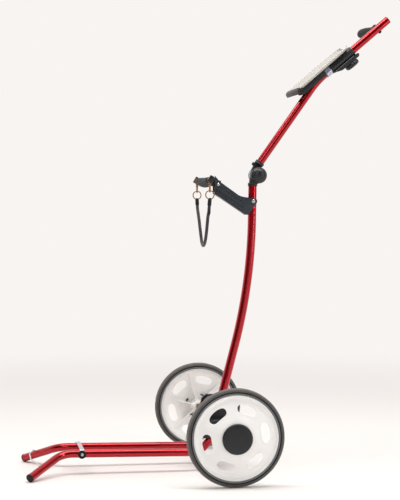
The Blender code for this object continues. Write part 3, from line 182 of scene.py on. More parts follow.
def axes(along, side=Y, origin=Vector((0, 0, 0))):
    """Matrix that turns +Z to along, with its +X as near to side as it can be."""
    z = Vector(along).normalized()
    x = (Vector(side) - z * z.dot(Vector(side))).normalized()
    return Matrix.Translation(origin) @ directions(x, z.cross(x), z)


def soften(points, closed=False, steps=5):
    """Points as (x, y, reach): a corner with a reach is rounded over that distance."""
    out = []
    count = len(points)
    for i, point in enumerate(points):
        reach = point[2] if len(point) > 2 else 0.0
        corner = Vector(point[:2])
        if not reach or (not closed and i in (0, count - 1)):
            out.append(corner)
            continue
        before = Vector(points[i - 1][:2])
        after = Vector(points[(i + 1) % count][:2])
        into = corner + (before - corner).normalized() * min(reach, (before - corner).length * 0.49)
        away = corner + (after - corner).normalized() * min(reach, (after - corner).length * 0.49)
        for step in range(steps + 1):
            t = step / steps
            out.append(into * (1 - t) ** 2 + corner * 2 * t * (1 - t) + away * t * t)
    return out


def turned(profile, steps=48, closed=False):
    """Solid turned about Z from (radius, height, reach) points; closed joins the last to the first."""
    bm = bmesh.new()
    verts = [bm.verts.new((max(p.x, 0.0), 0, p.y)) for p in soften(profile, closed)]
    pairs = list(zip(verts, verts[1:])) + ([(verts[-1], verts[0])] if closed else [])
    edges = [bm.edges.new(pair) for pair in pairs]
    bmesh.ops.spin(bm, geom=verts + edges, cent=(0, 0, 0), axis=(0, 0, 1), angle=math.tau, steps=steps,
                   use_merge=True)
    bmesh.ops.remove_doubles(bm, verts=bm.verts, dist=1e-6)
    return bm


def extruded(bm, edges):
    """Extrudes edges on the spot, and gives the new vertices and edges."""
    made = bmesh.ops.extrude_edge_only(bm, edges=edges)["geom"]
    verts = [g for g in made if isinstance(g, bmesh.types.BMVert)]
    ring = set(verts)
    return verts, [g for g in made if isinstance(g, bmesh.types.BMEdge)
                   and g.verts[0] in ring and g.verts[1] in ring]


def face_up(bm):
    """Turns an open sheet so that its faces look towards +Z."""
    bmesh.ops.recalc_face_normals(bm, faces=bm.faces)
    if sum(face.normal.z for face in bm.faces) < 0:
        bmesh.ops.reverse_faces(bm, faces=bm.faces)


def ring_section(radius, sides=24):
    return [Vector((radius * math.cos(math.tau * i / sides), radius * math.sin(math.tau * i / sides)))
            for i in range(sides)]


def swept(route, section, side=Y, scales=None, closed=False):
    """Section pushed along a route. Each vertex keeps how far along and how far round it is."""
    count = len(route)
    bm = bmesh.new()
    along_layer = bm.verts.layers.float.new("along")
    around_layer = bm.verts.layers.float.new("around")
    tangents = []
    for i in range(count):
        before = route[i - 1] if (i or closed) else route[0]
        after = route[(i + 1) % count] if (i < count - 1 or closed) else route[-1]
        tangents.append((after - before).normalized())
    normal = (Vector(side) - tangents[0] * tangents[0].dot(Vector(side))).normalized()
    frames, travelled, places = [], 0.0, []
    for i in range(count):
        if i:
            travelled += (route[i] - route[i - 1]).length
            normal = tangents[i - 1].rotation_difference(tangents[i]) @ normal
            normal = (normal - tangents[i] * tangents[i].dot(normal)).normalized()
        scale = scales[i] if scales else 1.0
        frames.append(axes(tangents[i], normal, route[i]) @ Matrix.Diagonal((scale, scale, 1, 1)))
        places.append(travelled)
    ring = bmesh.ops.create_circle(bm, segments=len(section), radius=1.0)["verts"]
    for i, (vert, point) in enumerate(zip(ring, section)):
        vert.co = frames[0] @ Vector((point.x, point.y, 0))
        vert[around_layer] = i / len(section)
    edges = list(bm.edges)
    start_edges = list(edges)
    for i in range(1, count):
        ring, edges = extruded(bm, edges)
        bmesh.ops.transform(bm, matrix=frames[i] @ frames[i - 1].inverted(), verts=ring)
        for vert in ring:
            vert[along_layer] = places[i]
    if closed:
        bmesh.ops.bridge_loops(bm, edges=edges + start_edges)
    else:
        bmesh.ops.contextual_create(bm, geom=start_edges)
        bmesh.ops.contextual_create(bm, geom=edges)
    return bm


def drop_doubled_faces(bm):
    """Deletes pairs of faces that lie on the same vertices, back to back."""
    by_verts = {}
    for face in bm.faces:
        by_verts.setdefault(frozenset(face.verts), []).append(face)
    doubled = [face for faces in by_verts.values() if len(faces) > 1 for face in faces]
    bmesh.ops.delete(bm, geom=doubled, context="FACES")


def slab(outline, thickness, bevel=0.0, segments=3, steps=5):
    """Flat outline in XY, thickness centred on it, with rounded edges."""
    bm = bmesh.new()
    verts = [bm.verts.new((p.x, p.y, -thickness / 2)) for p in soften(outline, True, steps)]
    face = bm.faces.new(verts)
    raised = bmesh.ops.extrude_face_region(bm, geom=[face])["geom"]
    bmesh.ops.translate(bm, vec=(0, 0, thickness), verts=[g for g in raised if isinstance(g, bmesh.types.BMVert)])
    bmesh.ops.recalc_face_normals(bm, faces=bm.faces)
    if bevel:
        rims = [e for e in bm.edges if abs(e.verts[0].co.z - e.verts[1].co.z) < 1e-9]
        bmesh.ops.bevel(bm, geom=rims, offset=bevel, segments=segments, profile=0.5, affect="EDGES",
                        material=-1, clamp_overlap=True)
        # Where a corner's radius and the bevel meet, edges can shrink to nothing.
        bmesh.ops.dissolve_degenerate(bm, dist=2e-5, edges=bm.edges)
        drop_doubled_faces(bm)
    return bm


def brick(size, bevel, segments=3):
    bm = bmesh.new()
    bmesh.ops.create_cube(bm, size=1.0)
    bmesh.ops.scale(bm, vec=Vector(size), verts=bm.verts)
    bmesh.ops.bevel(bm, geom=list(bm.edges), offset=bevel, segments=segments, profile=0.5, affect="EDGES",
                    material=-1, clamp_overlap=True)
    return bm


def rounded_route(corners, radii, steps=14):
    """Route through corners, each inner one rounded with its own radius."""
    route = [Vector(corners[0])]
    for before, corner, after, radius in zip(corners, corners[1:], corners[2:], radii):
        into = (before - corner).normalized()
        out = (after - corner).normalized()
        half = into.angle(out) / 2
        centre = corner + (into + out).normalized() * radius / math.sin(half)
        spoke = (corner + into * radius / math.tan(half)) - centre
        axis = spoke.cross(corner - centre)
        turn = math.pi - 2 * half
        route += [centre + Matrix.Rotation(turn * s / steps, 4, axis) @ spoke for s in range(steps + 1)]
    return route + [Vector(corners[-1])]


def smooth_route(knots, spacing):
    """Catmull-Rom curve through knots, read off at about the given spacing."""
    knots = [Vector(knot) for knot in knots]
    ends = [2 * knots[0] - knots[1]] + knots + [2 * knots[-1] - knots[-2]]
    fine = []
    for a, b, c, d in zip(ends, ends[1:], ends[2:], ends[3:]):
        for step in range(20):
            t = step / 20
            fine.append(0.5 * (2 * b + (c - a) * t + (2 * a - 5 * b + 4 * c - d) * t * t
                               + (3 * b - a - 3 * c + d) * t * t * t))
    fine.append(knots[-1])
    whole = sum((q - p).length for p, q in zip(fine, fine[1:]))
    count = max(2, round(whole / spacing))
    route, travelled, gap = [fine[0]], 0.0, whole / count
    for p, q in zip(fine, fine[1:]):
        step = (q - p).length
        while len(route) < count and travelled + step >= gap * len(route):
            route.append(p.lerp(q, (gap * len(route) - travelled) / step))
        travelled += step
    return route + [fine[-1]]


def merged(*meshes):
    """One bmesh that holds the closed shells of several."""
    whole = meshes[0]
    for other in meshes[1:]:
        holder = bpy.data.meshes.new("holder")
        other.to_mesh(holder)
        other.free()
        whole.from_mesh(holder)
        bpy.data.meshes.remove(holder)
    return whole


def placed(bm, matrix):
    bmesh.ops.transform(bm, matrix=matrix, verts=bm.verts)
    return bm


def wrap_uv(bm):
    """UV in which U goes once round a swept piece and V is metres along it."""
    along_layer = bm.verts.layers.float["along"]
    around_layer = bm.verts.layers.float["around"]
    uv = bm.loops.layers.uv.new("wrap")
    for face in bm.faces:
        rounds = [loop.vert[around_layer] for loop in face.loops]
        seam = max(rounds) - min(rounds) > 0.5
        for loop, around in zip(face.loops, rounds):
            loop[uv].uv = (around + 1 if seam and around < 0.5 else around, loop.vert[along_layer])


def make_piece(name, bm, body, finishes, stands_for=(), place=None, rule=None, sharp=32):
    """Turns a bmesh into a finished piece that rides on a body."""
    if place is not None:
        placed(bm, place)
    bmesh.ops.recalc_face_normals(bm, faces=bm.faces)
    if rule:
        for face in bm.faces:
            face.material_index = rule(face.calc_center_median())
    mesh = bpy.data.meshes.new(name)
    bm.to_mesh(mesh)
    bm.free()
    for finish in finishes if isinstance(finishes, (list, tuple)) else [finishes]:
        mesh.materials.append(finish)
    mesh.shade_smooth()
    mesh.set_sharp_from_angle(angle=math.radians(sharp))
    piece = bpy.data.objects.new(name, mesh)
    bpy.context.scene.collection.objects.link(piece)
    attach(piece, body)
    if stands_for:
        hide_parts(*([stands_for] if isinstance(stands_for, str) else stands_for))
    return piece


def paint_node(node, finish):
    """Gives a CAD node that stays in sight a better material."""
    mesh = frame["nodes"][node].data
    mesh.materials.clear()
    mesh.materials.append(finish)


# ---------------------------------------------------------------- materials
def add(tree, kind, inputs=None, **settings):
    """Adds a node. An input is a value, or (node, output) to link."""
    node = tree.nodes.new(kind)
    for key, value in settings.items():
        setattr(node, key, value)
    for key, value in (inputs or {}).items():
        if isinstance(value, tuple) and len(value) == 2 and isinstance(value[0], bpy.types.Node):
            tree.links.new(value[0].outputs[value[1]], node.inputs[key])
        else:
            node.inputs[key].default_value = value
    return node


def new_material(name):
    """Empty material with a Principled shader, and the shader."""
    material = bpy.data.materials.get(name)
    if material:
        return material, None
    material = bpy.data.materials.new(name)
    material.use_nodes = True
    return material, material.node_tree.nodes["Principled BSDF"]


def set_shader(shader, **values):
    for key, value in values.items():
        shader.inputs[key.replace("_", " ")].default_value = value


def shade(rgb, factor):
    return (*(min(1.0, channel * factor) for channel in rgb), 1.0)


def per_metre(size_mm):
    """Noise scale whose features are about size_mm across."""
    return 1000.0 / size_mm


def varied(tree, shader, rgb, low, high, size_mm, detail=4.0):
    """Base colour that drifts between two shades of one colour over patches of a given size."""
    place = add(tree, "ShaderNodeTexCoord")
    noise = add(tree, "ShaderNodeTexNoise", {"Vector": (place, "Object"), "Scale": per_metre(size_mm),
                                             "Detail": detail})
    ramp = add(tree, "ShaderNodeMix", {"Factor": (noise, "Fac"), 6: shade(rgb, low), 7: shade(rgb, high)},
               data_type="RGBA")
    tree.links.new(ramp.outputs[2], shader.inputs["Base Color"])
    return place, noise


def rough(tree, shader, place, low, high, size_mm):
    """Roughness that drifts over patches of a given size."""
    noise = add(tree, "ShaderNodeTexNoise", {"Vector": (place, "Object"), "Scale": per_metre(size_mm),
                                             "Detail": 5.0})
    spread = add(tree, "ShaderNodeMapRange", {"Value": (noise, "Fac"), "From Min": 0.3, "From Max": 0.7,
                                              "To Min": low, "To Max": high})
    tree.links.new(spread.outputs["Result"], shader.inputs["Roughness"])


def grained(tree, shader, place, size_mm, height_mm, strength=1.0, detail=2.0):
    """Moulded or cast grain as bump."""
    noise = add(tree, "ShaderNodeTexNoise", {"Vector": (place, "Object"), "Scale": per_metre(size_mm),
                                             "Detail": detail})
    bump = add(tree, "ShaderNodeBump", {"Height": (noise, "Fac"), "Distance": height_mm * MM,
                                        "Strength": strength})
    tree.links.new(bump.outputs["Normal"], shader.inputs["Normal"])
    return bump


def red_lacquer():
    """Clear-coated candy red on metal tube: deep red where it faces you, mirror-like streaks from the lights."""
    material, shader = new_material("red_lacquered_tube")
    if shader:
        tree = material.node_tree
        place, _ = varied(tree, shader, colours().lacquer, 0.9, 1.06, 60)
        set_shader(shader, Metallic=0.85, Coat_Weight=0.75, Coat_Roughness=0.03, Coat_IOR=1.45)
        rough(tree, shader, place, 0.17, 0.22, 20)
        # The coat's orange peel is 4 mm across and barely there.
        grained(tree, shader, place, 4.0, 0.004, 0.05)
    return material


def black_nylon(name="black_moulded_nylon", tone=None):
    """Injection-moulded nylon: spark-eroded grain under 1 mm, drawn at 1 mm so that it shows."""
    material, shader = new_material(name)
    if shader:
        tree = material.node_tree
        place, _ = varied(tree, shader, tone or colours().nylon, 0.8, 1.25, 8)
        set_shader(shader, IOR=1.53, Specular_IOR_Level=0.4)
        rough(tree, shader, place, 0.34, 0.46, 6)
        grained(tree, shader, place, 1.0, 0.03, 0.25)
    return material


def black_rubber():
    """Soft moulded rubber: matte, with a dusty bloom in patches."""
    material, shader = new_material("black_moulded_rubber")
    if shader:
        tree = material.node_tree
        place, _ = varied(tree, shader, colours().rubber, 0.75, 1.35, 14, 6.0)
        set_shader(shader, IOR=1.52, Specular_IOR_Level=0.3)
        rough(tree, shader, place, 0.55, 0.78, 6)
        grained(tree, shader, place, 1.2, 0.08, 0.5, 4.0)
    return material


def tyre_rubber(name, rgb, low, high):
    """Vulcanised tyre rubber: matte, with scuffs and dust that follow how it rolls."""
    material, shader = new_material(name)
    if shader:
        tree = material.node_tree
        place, _ = varied(tree, shader, rgb, low, high, 18, 8.0)
        set_shader(shader, IOR=1.52)
        rough(tree, shader, place, 0.6, 0.85, 5)
        grained(tree, shader, place, 1.4, 0.12, 0.5, 5.0)
    return material


def white_polypropylene():
    """Moulded polypropylene: white, waxy and slightly see-through, so light softens its shaded side."""
    material, shader = new_material("white_moulded_polypropylene")
    if shader:
        tree = material.node_tree
        place, _ = varied(tree, shader, colours().disc, 0.96, 1.02, 40)
        set_shader(shader, IOR=1.49, Subsurface_Weight=0.25, Subsurface_Radius=(1.0, 0.85, 0.7),
                   Subsurface_Scale=0.006)
        rough(tree, shader, place, 0.3, 0.42, 10)
        grained(tree, shader, place, 3.0, 0.03, 0.25)
    return material


def metal(name, rgb, low, high, grain_mm=2.0, height_mm=0.01, drift=0.08):
    """Bare or plated metal with faint handling marks."""
    material, shader = new_material(name)
    if shader:
        tree = material.node_tree
        place, _ = varied(tree, shader, rgb, 1 - drift, 1 + drift, 9, 5.0)
        set_shader(shader, Metallic=1.0)
        rough(tree, shader, place, low, high, 3)
        grained(tree, shader, place, grain_mm, height_mm, 0.4, 4.0)
    return material


def zinc_steel():
    return metal("zinc_plated_steel", colours().zinc, 0.22, 0.4)


def bright_wire():
    return metal("bright_drawn_wire", colours().zinc, 0.1, 0.2)


def brass():
    return metal("satin_brass", colours().brass, 0.22, 0.42, 1.5, 0.02, 0.22)


def band_metal():
    return metal("silver_anodised_band", colours().band, 0.3, 0.42, 1.0, 0.01, 0.04)


def frosted_board():
    """Frosted polycarbonate against the arm: warm grey, reads as opaque, with a dull satin face."""
    material, shader = new_material("frosted_polycarbonate")
    if shader:
        tree = material.node_tree
        place, _ = varied(tree, shader, colours().board, 0.97, 1.03, 45)
        set_shader(shader, IOR=1.58, Specular_IOR_Level=0.1)
        rough(tree, shader, place, 0.62, 0.7, 25)
    return material


def smoke_plastic():
    """Smoke-tinted acrylic: dark brown-grey in patches, with satin faces."""
    material, shader = new_material("smoke_acrylic")
    if shader:
        tree = material.node_tree
        place, _ = varied(tree, shader, colours().smoke, 0.8, 1.35, 16)
        set_shader(shader, IOR=1.49, Specular_IOR_Level=0.15)
        rough(tree, shader, place, 0.4, 0.5, 7)
        grained(tree, shader, place, 4.0, 0.02, 0.2)
    return material


def braided_cord():
    """Round elastic in a braided sleeve: strands cross at about 2 mm, drawn in the piece's own UV. Painted shade
    darkens the hollows between strands, and a painted highlight lightens their crowns.
    """
    material, shader = new_material("braided_elastic")
    if shader:
        tree = material.node_tree
        uv = add(tree, "ShaderNodeUVMap", uv_map="wrap")
        waves = []
        for lean in (1, -1):
            # 8 strands round the cord; 260 turns a metre keeps a strand near 2 mm wide.
            turned_uv = add(tree, "ShaderNodeMapping", {"Vector": (uv, "UV"), "Scale": (8.0, lean * 260.0, 1.0)})
            split = add(tree, "ShaderNodeSeparateXYZ", {0: (turned_uv, 0)})
            angle = add(tree, "ShaderNodeMath", {0: (split, 0), 1: (split, 1)}, operation="ADD")
            turn = add(tree, "ShaderNodeMath", {0: (angle, 0), 1: math.tau}, operation="MULTIPLY")
            waves.append(add(tree, "ShaderNodeMath", {0: (turn, 0)}, operation="SINE"))
        weave = add(tree, "ShaderNodeMath", {0: (waves[0], 0), 1: (waves[1], 0)}, operation="MAXIMUM")
        height = add(tree, "ShaderNodeMapRange", {"Value": (weave, 0), "From Min": -1.0, "From Max": 1.0})
        # Painted shade and highlight: the black cord's colour follows the weave's height, darker in the hollows and
        # lighter on the crowns.
        weave_shade = add(tree, "ShaderNodeMix", {"Factor": (height, 0), 6: shade(colours().cord, 0.5),
                                           7: shade(colours().cord, 1.9)}, data_type="RGBA")
        tree.links.new(weave_shade.outputs[2], shader.inputs["Base Color"])
        bump = add(tree, "ShaderNodeBump", {"Height": (height, 0), "Distance": 0.0006, "Strength": 0.7})
        tree.links.new(bump.outputs["Normal"], shader.inputs["Normal"])
        set_shader(shader, Roughness=0.72, Sheen_Weight=0.3, Sheen_Roughness=0.5)
    return material


# ---------------------------------------------------------------- wheels
def wheel_place(sign):
    """Its Z points outwards along the axle, its origin in the wheel's middle plane."""
    return axes(Y * sign, X * sign, AXLE + Y * sign * TRACK / 2)


def tyre_mesh():
    size = sizes()
    half, top, seat = size.tyre_width / 2, size.wheel_radius, size.rim_radius + CLEARANCE
    side = [(seat, half - 0.0016, 0.0008), (seat + 0.0008, half - 0.0008, 0.0006),
            (seat + 0.0046, half - 0.0002, 0.0012), (seat + 0.0052, half - 0.0030, 0.0004),
            (seat + 0.0070, half - 0.0030, 0.0004), (seat + 0.0080, half, 0.0012),
            (top - 0.0062, half - 0.0004, 0.003), (top - 0.0010, half - 0.0046, 0.003)]
    tread = [(top, 0.0048, 0.0006), (top - 0.0007, 0.0044, 0.0003), (top - 0.0007, 0.0036, 0.0003),
             (top, 0.0032, 0.0006)]
    mirrored = [(p[0], -p[1], p[2]) for p in reversed(side + tread)]
    return turned(side + tread + mirrored, sizes().roundness, True)


def dish_height(radius):
    """Height of the wheel disc's outer face above the wheel's middle plane."""
    knots = ((0.0, 24.5), (42.0, 24.5), (50.0, 22.4), (64.0, 16.6), (82.0, 11.4), (96.0, 8.4), (103.0, 7.6),
             (200.0, 7.6))
    radius /= MM
    for (r1, z1), (r2, z2) in zip(knots, knots[1:]):
        if radius <= r2:
            t = (radius - r1) / (r2 - r1)
            return (z1 + (z2 - z1) * t) * MM
    return 7.6 * MM


def spoke_swell(radius, angle):
    """Spokes between the openings stand a little proud of the disc."""
    share = math.exp(-((radius - 0.074) / 0.02) ** 2)
    return 0.0024 * share * (0.5 - 0.5 * math.cos(6 * angle)) ** 2


def disc_mesh(first_angle):
    """Dished disc: each sixth is a ring of quads from an oval opening out to the sector's edge."""
    size = sizes()
    centre_radius = 0.079
    half_u, half_v = centre_radius * math.pi / 6, 0.0225
    across, down = 14, 8
    border = [(half_u * (2 * i / across - 1), -half_v) for i in range(across)]
    border += [(half_u, half_v * (2 * i / down - 1)) for i in range(down)]
    border += [(half_u * (1 - 2 * i / across), half_v) for i in range(across)]
    border += [(-half_u, half_v * (1 - 2 * i / down)) for i in range(down)]
    long_half, short_half, power = size.opening_length / 2, size.opening_width / 2, 2.5
    bm = bmesh.new()
    for sector in range(6):
        centre_angle = first_angle + sector * math.tau / 6
        ring = bmesh.ops.create_circle(bm, segments=len(border), radius=1.0)["verts"]
        edges = list({e for v in ring for e in v.link_edges})
        for share in (0.0, 0.09, 0.28, 0.52, 0.76, 1.0):
            if share:
                ring, edges = extruded(bm, edges)
            for vert, (u, v) in zip(ring, border):
                reach = (abs(u / long_half) ** power + abs(v / short_half) ** power) ** (-1 / power)
                u, v = u * reach + (u - u * reach) * share, v * reach + (v - v * reach) * share
                radius, angle = centre_radius + v, centre_angle + u / centre_radius
                lip = 0.0012 * max(0.0, 1 - share / 0.2)
                height = dish_height(radius) + spoke_swell(radius, angle - first_angle) + lip
                vert.co = (radius * math.cos(angle), radius * math.sin(angle), height)
    bmesh.ops.remove_doubles(bm, verts=bm.verts, dist=2e-5)
    rim = size.rim_radius
    inner = [(0.052, None), (0.0465, None), (0.043, None), (0.040, None), (0.030, None), (0.018, None),
             (0.0083, None)]
    outer = [(0.1035, 0.0076), (0.1058, 0.0084), (0.1074, 0.0100), (0.1090, 0.0112), (0.1108, 0.0115),
             (rim - 0.0004, 0.0113), (rim, 0.0105), (rim, 0.004), (rim, -0.004), (rim, -0.0110)]
    for wanted, path in ((0.0565, inner), (0.1015, outer)):
        edges = [e for e in bm.edges if e.is_boundary
                 and abs((e.verts[0].co.to_2d().length + e.verts[1].co.to_2d().length) / 2 - wanted) < 0.0012]
        for radius, height in path:
            ring, edges = extruded(bm, edges)
            for vert in ring:
                flat = vert.co.to_2d().normalized() * radius
                level = dish_height(radius) if height is None else height
                vert.co = (flat.x, flat.y, level)
    face_up(bm)
    return bm


def hub_cap_mesh():
    radius = sizes().hub_cap_radius
    low, high = 0.0248, 0.0338
    profile = [(0.0, high), (0.022, high - 0.0004), (0.0300, high - 0.0009, 0.001), (0.0306, high - 0.0013, 0.0005),
               (0.0316, high - 0.0012, 0.0006), (radius - 0.0035, high - 0.0020, 0.002),
               (radius - 0.0006, high - 0.0042, 0.002), (radius, low + 0.0022, 0.001), (radius - 0.0004, low, 0.0004),
               (0.0145, low), (0.0145, high - 0.0022), (0.0, high - 0.0022)]
    cap = turned(profile, 72)
    for index in range(4):
        turn = Matrix.Rotation(math.radians(28 + 90 * index), 4, "Z")
        clip = placed(brick((0.0040, 0.0092, 0.0120), 0.0008, 2),
                      turn @ Matrix.Translation((0.0335, 0, 0.0195)))
        cap = merged(cap, clip)
    return cap


class TROLLEY_OT_wheels(bpy.types.Operator):
    """Make both wheels: tyre, dished disc, hub barrel, bush and hub cap"""
    bl_idname = "trolley.wheels"
    bl_label = "Wheels"

    def execute(self, context):
        shade_of = colours()
        side_rubber = tyre_rubber("tyre_sidewall_rubber", shade_of.tyre_side, 0.85, 1.3)
        tread_rubber = tyre_rubber("tyre_tread_rubber", shade_of.tyre_tread, 0.75, 1.2)
        bead_rubber = tyre_rubber("tyre_bead_rubber", shade_of.tyre_bead, 0.9, 1.15)
        # The near black rubber in the sidewall's groove is painted shade.
        groove_shade_rubber = tyre_rubber("tyre_groove_shade_rubber", shade_of.tyre_groove_shade, 0.8, 1.2)
        white, steel = white_polypropylene(), zinc_steel()
        top = sizes().wheel_radius
        first_angles = {"left": math.radians(-15), "right": math.radians(10)}
        for side, sign in SIDES:
            body, place = f"wheel_assembly_{side}", wheel_place(sign)
            hub = AXLE + Y * sign * TRACK / 2

            def tyre_zone(point):
                """Which rubber a face is: 0 sidewall, 1 tread, 2 bead beside the rim, 3 the groove's walls, near
                black as painted shade.
                """
                radius = math.hypot(point.x - hub.x, point.z - hub.z)
                if radius > top - 0.0032:
                    return 1
                above_rim = radius - sizes().rim_radius - CLEARANCE
                return 2 if above_rim < 0.0047 else 3 if above_rim < 0.0077 else 0

            rubbers = [side_rubber, tread_rubber, bead_rubber, groove_shade_rubber]
            make_piece(f"tyre_{side}_rubber", tyre_mesh(), body, rubbers, f"tyre_{side}", place, tyre_zone)
            disc = make_piece(f"wheel_disc_{side}", disc_mesh(first_angles[side]), body, white,
                              f"wheel_{side}", sharp=50)
            disc.data.transform(place)
            wall = disc.modifiers.new("wall", "SOLIDIFY")
            wall.thickness, wall.offset, wall.use_even_offset = 0.0034, -1, True
            smooth = disc.modifiers.new("smooth", "SUBSURF")
            smooth.levels = smooth.render_levels = 1
            barrel = [(0.0083, 0.0205), (0.0200, 0.0205, 0.001), (0.0172, 0.0120, 0.004), (0.0150, 0.0, 0.004),
                      (0.0148, -0.0195, 0.0008), (0.0083, -0.0200, 0.0005)]
            make_piece(f"hub_barrel_{side}", turned(barrel, 64, True), body, white, f"wheel_{side}", place)
            ribs = None
            for index in range(6):
                angle = first_angles[side] + math.radians(30 + 60 * index)
                outline = [(0.0155, 0.0185), (0.0155, -0.0060, 0.004), (0.0250, -0.0020, 0.006),
                           (0.0600, 0.0065, 0.006), (0.0960, 0.0035), (0.0960, 0.0056), (0.0620, 0.0145),
                           (0.0450, 0.0193)]
                rib = placed(slab(outline, 0.0024, 0.0006, 2),
                             Matrix.Rotation(angle, 4, "Z") @ Matrix.Rotation(math.pi / 2, 4, "X"))
                ribs = merged(ribs, rib) if ribs else rib
            make_piece(f"disc_ribs_{side}", ribs, body, white, f"wheel_{side}", place)
            bush = [(0.0063, 0.0245), (0.0080, 0.0245), (0.0080, -0.0296, 0.0004), (0.0063, -0.0300)]
            make_piece(f"axle_bush_{side}_metal", turned(bush, 48, True), body, brass(),
                       f"axle_bush_{side}", place)
            make_piece(f"hub_cap_{side}_plastic", hub_cap_mesh(), body, black_nylon(),
                       f"hub_cap_{side}", place)
            paint_node(f"axle_push_nut_{side}", steel)
        low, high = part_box("axle")
        reach, radius = (high.y - low.y) / 2, (high.z - low.z) / 2
        rod = [(0.0, reach), (radius, reach, 0.001), (radius, -reach, 0.001), (0.0, -reach)]
        make_piece("axle_rod", turned(rod, 48), "base", steel, "axle", axes(Y, X, AXLE))
        return {"FINISHED"}


# ---------------------------------------------------------------- base
BASE_HEIGHT = 0.0515
BASE_RISE = 0.0050
REAR_BEND = 0.056
FRONT_BEND = 0.434
FOOT_REACH = 0.5276
FOOT_SPREAD = 0.306
FOOT_END_Z = 0.0115 * 0.954 - 0.0006
TUBE_Y = 0.055
CROSSBAR_REACH = 0.381


def from_axle(x, z, y=0.0):
    """Point x behind the axle, z above the floor."""
    return Vector((AXLE.x + x, y, z))


def base_corners(sign):
    rear = from_axle(-REAR_BEND, BASE_HEIGHT, sign * TUBE_Y)
    start = rear + Vector((0.060, 0, 0.066))
    front = from_axle(-FRONT_BEND, BASE_HEIGHT + BASE_RISE, sign * TUBE_Y)
    foot = from_axle(-FOOT_REACH, FOOT_END_Z, sign * FOOT_SPREAD / 2)
    return start, rear, front, foot


def base_tube_height(reach):
    return BASE_HEIGHT + BASE_RISE * (reach - REAR_BEND) / (FRONT_BEND - REAR_BEND)


def wire_route():
    front, foot = base_corners(1)[2:]
    on_tube = front.lerp(foot, 0.66)
    rise = sizes().base_tube_radius + 0.0035
    half = [on_tube, on_tube + Vector((-0.006, -0.004, rise)), Vector((on_tube.x - 0.022, 0.045, on_tube.z + rise))]
    corners = half + [Vector((p.x, -p.y, p.z)) for p in reversed(half)]
    return rounded_route(corners, [0.010, 0.06, 0.06, 0.010], 12)


class TROLLEY_OT_base(bpy.types.Operator):
    """Make the splayed base: tubes, foot caps, crossbar with its bolts, stop wire and axle bracket"""
    bl_idname = "trolley.base"
    bl_label = "Base"

    def execute(self, context):
        red, rubber, steel, nylon = red_lacquer(), black_rubber(), zinc_steel(), black_nylon()
        radius = sizes().base_tube_radius
        for side, sign in SIDES:
            start, rear, front, foot = base_corners(sign)
            out = (foot - front).normalized()
            route = rounded_route([start, rear, front, foot - out * 0.0038], [0.045, 0.065], 20)
            make_piece(f"base_tube_{side}_lacquer", swept(route, ring_section(radius, 40)), "base",
                       red, f"base_tube_{side}")
            cap = [(0.0, 0.0), (0.0060, 0.0, 0.0005), (0.0066, -0.0005, 0.0004), (0.0075, 0.0, 0.0004),
                   (0.0115, 0.0, 0.0014), (0.0115, -0.0035, 0.0004), (0.0090, -0.0036), (0.0090, -0.0180, 0.001),
                   (0.0, -0.0185)]
            bm = placed(turned(cap, 48), axes(out, Z, foot))
            bmesh.ops.bisect_plane(bm, geom=list(bm.verts) + list(bm.edges) + list(bm.faces), plane_co=(0, 0, 0),
                                   plane_no=(0, 0, -1), clear_outer=True)
            bmesh.ops.holes_fill(bm, edges=[e for e in bm.edges if e.is_boundary])
            make_piece(f"foot_cap_{side}_rubber", bm, "base", rubber, f"foot_cap_{side}")
            self.fastener(side, sign, rubber, steel)
            paint_node(f"bracket_screw_{side}", steel)
        half_thick = 0.00125
        y0, top, low = TUBE_Y + radius + CLEARANCE + half_thick, radius + CLEARANCE + half_thick, -0.0065
        level = base_tube_height(CROSSBAR_REACH)
        corners = [from_axle(-CROSSBAR_REACH, level + z, y)
                   for y, z in ((-y0, low), (-y0, top), (y0, top), (y0, low))]
        section = soften([(-0.0060, -half_thick, 0.0006), (0.0060, -half_thick, 0.0006),
                          (0.0060, half_thick, 0.0006), (-0.0060, half_thick, 0.0006)], True, 3)
        make_piece("crossbar_strap", swept(rounded_route(corners, [0.004, 0.004], 6), section, X), "base",
                   steel, "crossbar")
        make_piece("bag_stop_wire_bright", swept(wire_route(), ring_section(sizes().wire_radius, 20)), "base",
                   bright_wire(), "bag_stop_wire")
        paint_node("axle_bracket", nylon)
        return {"FINISHED"}

    def fastener(self, side, sign, rubber, steel):
        leg = TUBE_Y + sizes().base_tube_radius + 0.0025 + 0.0006
        place = axes(Y * sign, X, from_axle(-CROSSBAR_REACH, base_tube_height(CROSSBAR_REACH), sign * leg))
        washer = [(0.0028, 0.0), (0.0115, 0.0, 0.0012), (0.0115, 0.0032, 0.0012), (0.0092, 0.0040, 0.0010),
                  (0.0060, 0.0036, 0.0008), (0.0028, 0.0036)]
        make_piece(f"crossbar_washer_{side}_rubber", turned(washer, 48, True), "base", rubber,
                   f"crossbar_washer_{side}", place)
        bolt = [(0.0, 0.0058), (0.0013, 0.0058, 0.0002), (0.0015, 0.0068, 0.0003), (0.0030, 0.0067, 0.0012),
                (0.0042, 0.0052, 0.0008), (0.0042, 0.0043, 0.0003), (0.0025, 0.0041), (0.0025, -0.0100),
                (0.0, -0.0100)]
        make_piece(f"crossbar_bolt_{side}_steel", turned(bolt, 32), "base", steel,
                   f"crossbar_bolt_{side}", place)


# ---------------------------------------------------------------- mast and hinge
# Size of a hinge leaf, and half the gap between the two leaves.
LEAF_RADIUS = 0.0205
LEAF_THICKNESS = 0.0146
LEAF_GAP = 0.00015


def leaf_outline(reach, low, high, radius, clear_back):
    """Round leaf about the origin, drawn out along +X to a neck from low to high.

    A leaf with a clear back keeps its round edge on the low side, so that it can fold down past the other collar.
    """
    outline = []

    def tangent(x, y, turn):
        away = math.hypot(x, y)
        return math.atan2(y, x) + turn * math.acos(min(1.0, radius / away))

    begin = tangent(reach, high, 1)
    end = math.tau + (math.asin(low / radius) if clear_back else tangent(reach, low, -1))
    for step in range(33):
        angle = begin + (end - begin) * step / 32
        outline.append((radius * math.cos(angle), radius * math.sin(angle)))
    return outline + [(reach, low), (reach, high)]


